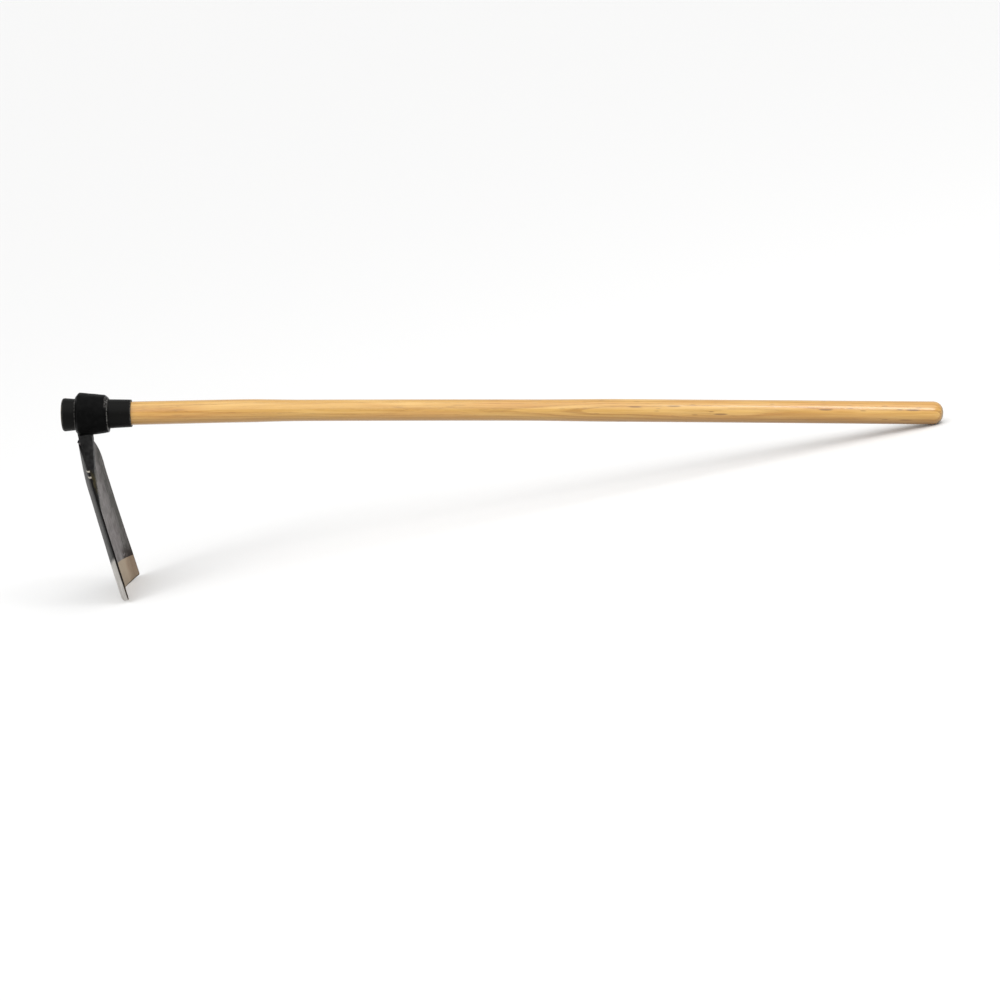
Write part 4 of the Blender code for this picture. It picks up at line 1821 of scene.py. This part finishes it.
@dataclass
class Studio:
    """A wide pale floor, an even sky, one soft sun, two softboxes and the camera.

    Attributes:
        floor_radius: of the floor, so wide that its rim is never seen.
        sky: brightness of the sky.
        sun: (elevation, azimuth, strength, apparent width) of the overhead light. Azimuth 0 shines from -Y.
        softboxes: the lamps that draw the highlights.
        elevation: how far the camera looks down, in the tool's own coordinates.
        roll: how far the tool is turned in the picture.
        distance: from the camera to its aim.
        aim: (right, up) of the middle of the picture, from the eye, in the picture's own directions.
        lens: focal length, in millimetres, on a 36 mm sensor.
    """

    floor_radius: float = 90.0
    sky: float = 0.74
    sun: tuple[float, float, float, float] = (68, 10, 1.75, 80)
    softboxes: tuple[Softbox, ...] = (
        Softbox("key_softbox", (0.62, 0.0, 0.1), (0.30, -0.55, 0.80), 2.4, (0.5, 1.4), 6.6),
        Softbox("head_softbox", (-0.6, 0.0, 0.25), (-0.85, -0.45, 0.40), 1.6, (0.7, 0.9), 2.5),
    )
    elevation: float = 15.0
    roll: float = 1.36
    distance: float = 5.131
    aim: tuple[float, float] = (0.634, -0.1335)
    lens: float = 118.73

    def build(self, stance: Stance) -> None:
        """Sets the whole studio up.

        Args:
            stance: where the tool stands.
        """
        self.lay_floor()
        self.light_sky()
        self.hang_sun()
        for softbox in self.softboxes:
            softbox.hang()
        self.set_camera(stance)
        bpy.context.scene.view_settings.view_transform = "Standard"

    def lay_floor(self) -> None:
        """Lays the floor at height 0."""
        mesh = bmesh.new()
        bmesh.ops.create_circle(mesh, cap_ends=True, radius=self.floor_radius, segments=96)
        data = bpy.data.meshes.new("floor")
        mesh.to_mesh(data)
        mesh.free()
        data.materials.append(StudioFloor().material())
        floor = bpy.data.objects.new("floor", data)
        bpy.context.scene.collection.objects.link(floor)

    def light_sky(self) -> None:
        """Lights the scene evenly from all round."""
        world = bpy.data.worlds.new("sky")
        world.use_nodes = True
        sky = world.node_tree.nodes["Background"]
        sky.inputs["Color"].default_value = (1, 1, 1, 1)
        sky.inputs["Strength"].default_value = self.sky
        bpy.context.scene.world = world

    def hang_sun(self) -> None:
        """Adds the soft sun."""
        elevation, azimuth, strength, width = self.sun
        data = bpy.data.lights.new("overhead_sun", "SUN")
        data.energy = strength
        data.angle = math.radians(width)
        sun = bpy.data.objects.new("overhead_sun", data)
        sun.rotation_euler = (math.radians(90 - elevation), 0, math.radians(azimuth))
        bpy.context.scene.collection.objects.link(sun)

    def set_camera(self, stance: Stance) -> None:
        """Puts the camera level with the tool's own lean.

        Args:
            stance: where the tool stands.
        """
        roll, elevation = math.radians(self.roll), math.radians(self.elevation)
        right = Vector((math.cos(roll), 0, -math.sin(roll)))
        upright = Vector((math.sin(roll), 0, math.cos(roll)))
        forward = Vector((0, math.cos(elevation), 0)) - upright * math.sin(elevation)
        up = Vector((0, math.sin(elevation), 0)) + upright * math.cos(elevation)
        place = right * self.aim[0] + up * self.aim[1] - forward * self.distance
        turn = Matrix((right, up, -forward)).transposed().to_4x4()
        data = bpy.data.cameras.new("camera")
        data.lens = self.lens
        data.sensor_width = 36
        data.clip_end = 400
        camera = bpy.data.objects.new("camera", data)
        camera.matrix_world = stance.matrix @ Matrix.Translation(place) @ turn
        bpy.context.scene.collection.objects.link(camera)
        bpy.context.scene.camera = camera


def main() -> None:
    """Builds the tool and its studio, in order."""
    logging.basicConfig(level=logging.INFO, format="%(message)s")
    handle = Handle()
    stance = Stance.from_record(frame["record"], handle.head_end)
    handle.build(stance)
    sleeve = Sleeve(handle)
    sleeve.build(stance)
    eye = EyeRing(sleeve)
    eye.build(stance)
    blade = Blade()
    blade.build(stance)
    tang = Tang(blade)
    tang.build(stance)
    Welds(blade, tang, eye).build(stance)
    Studio().build(stance)


if __name__ == "__main__":
    main()
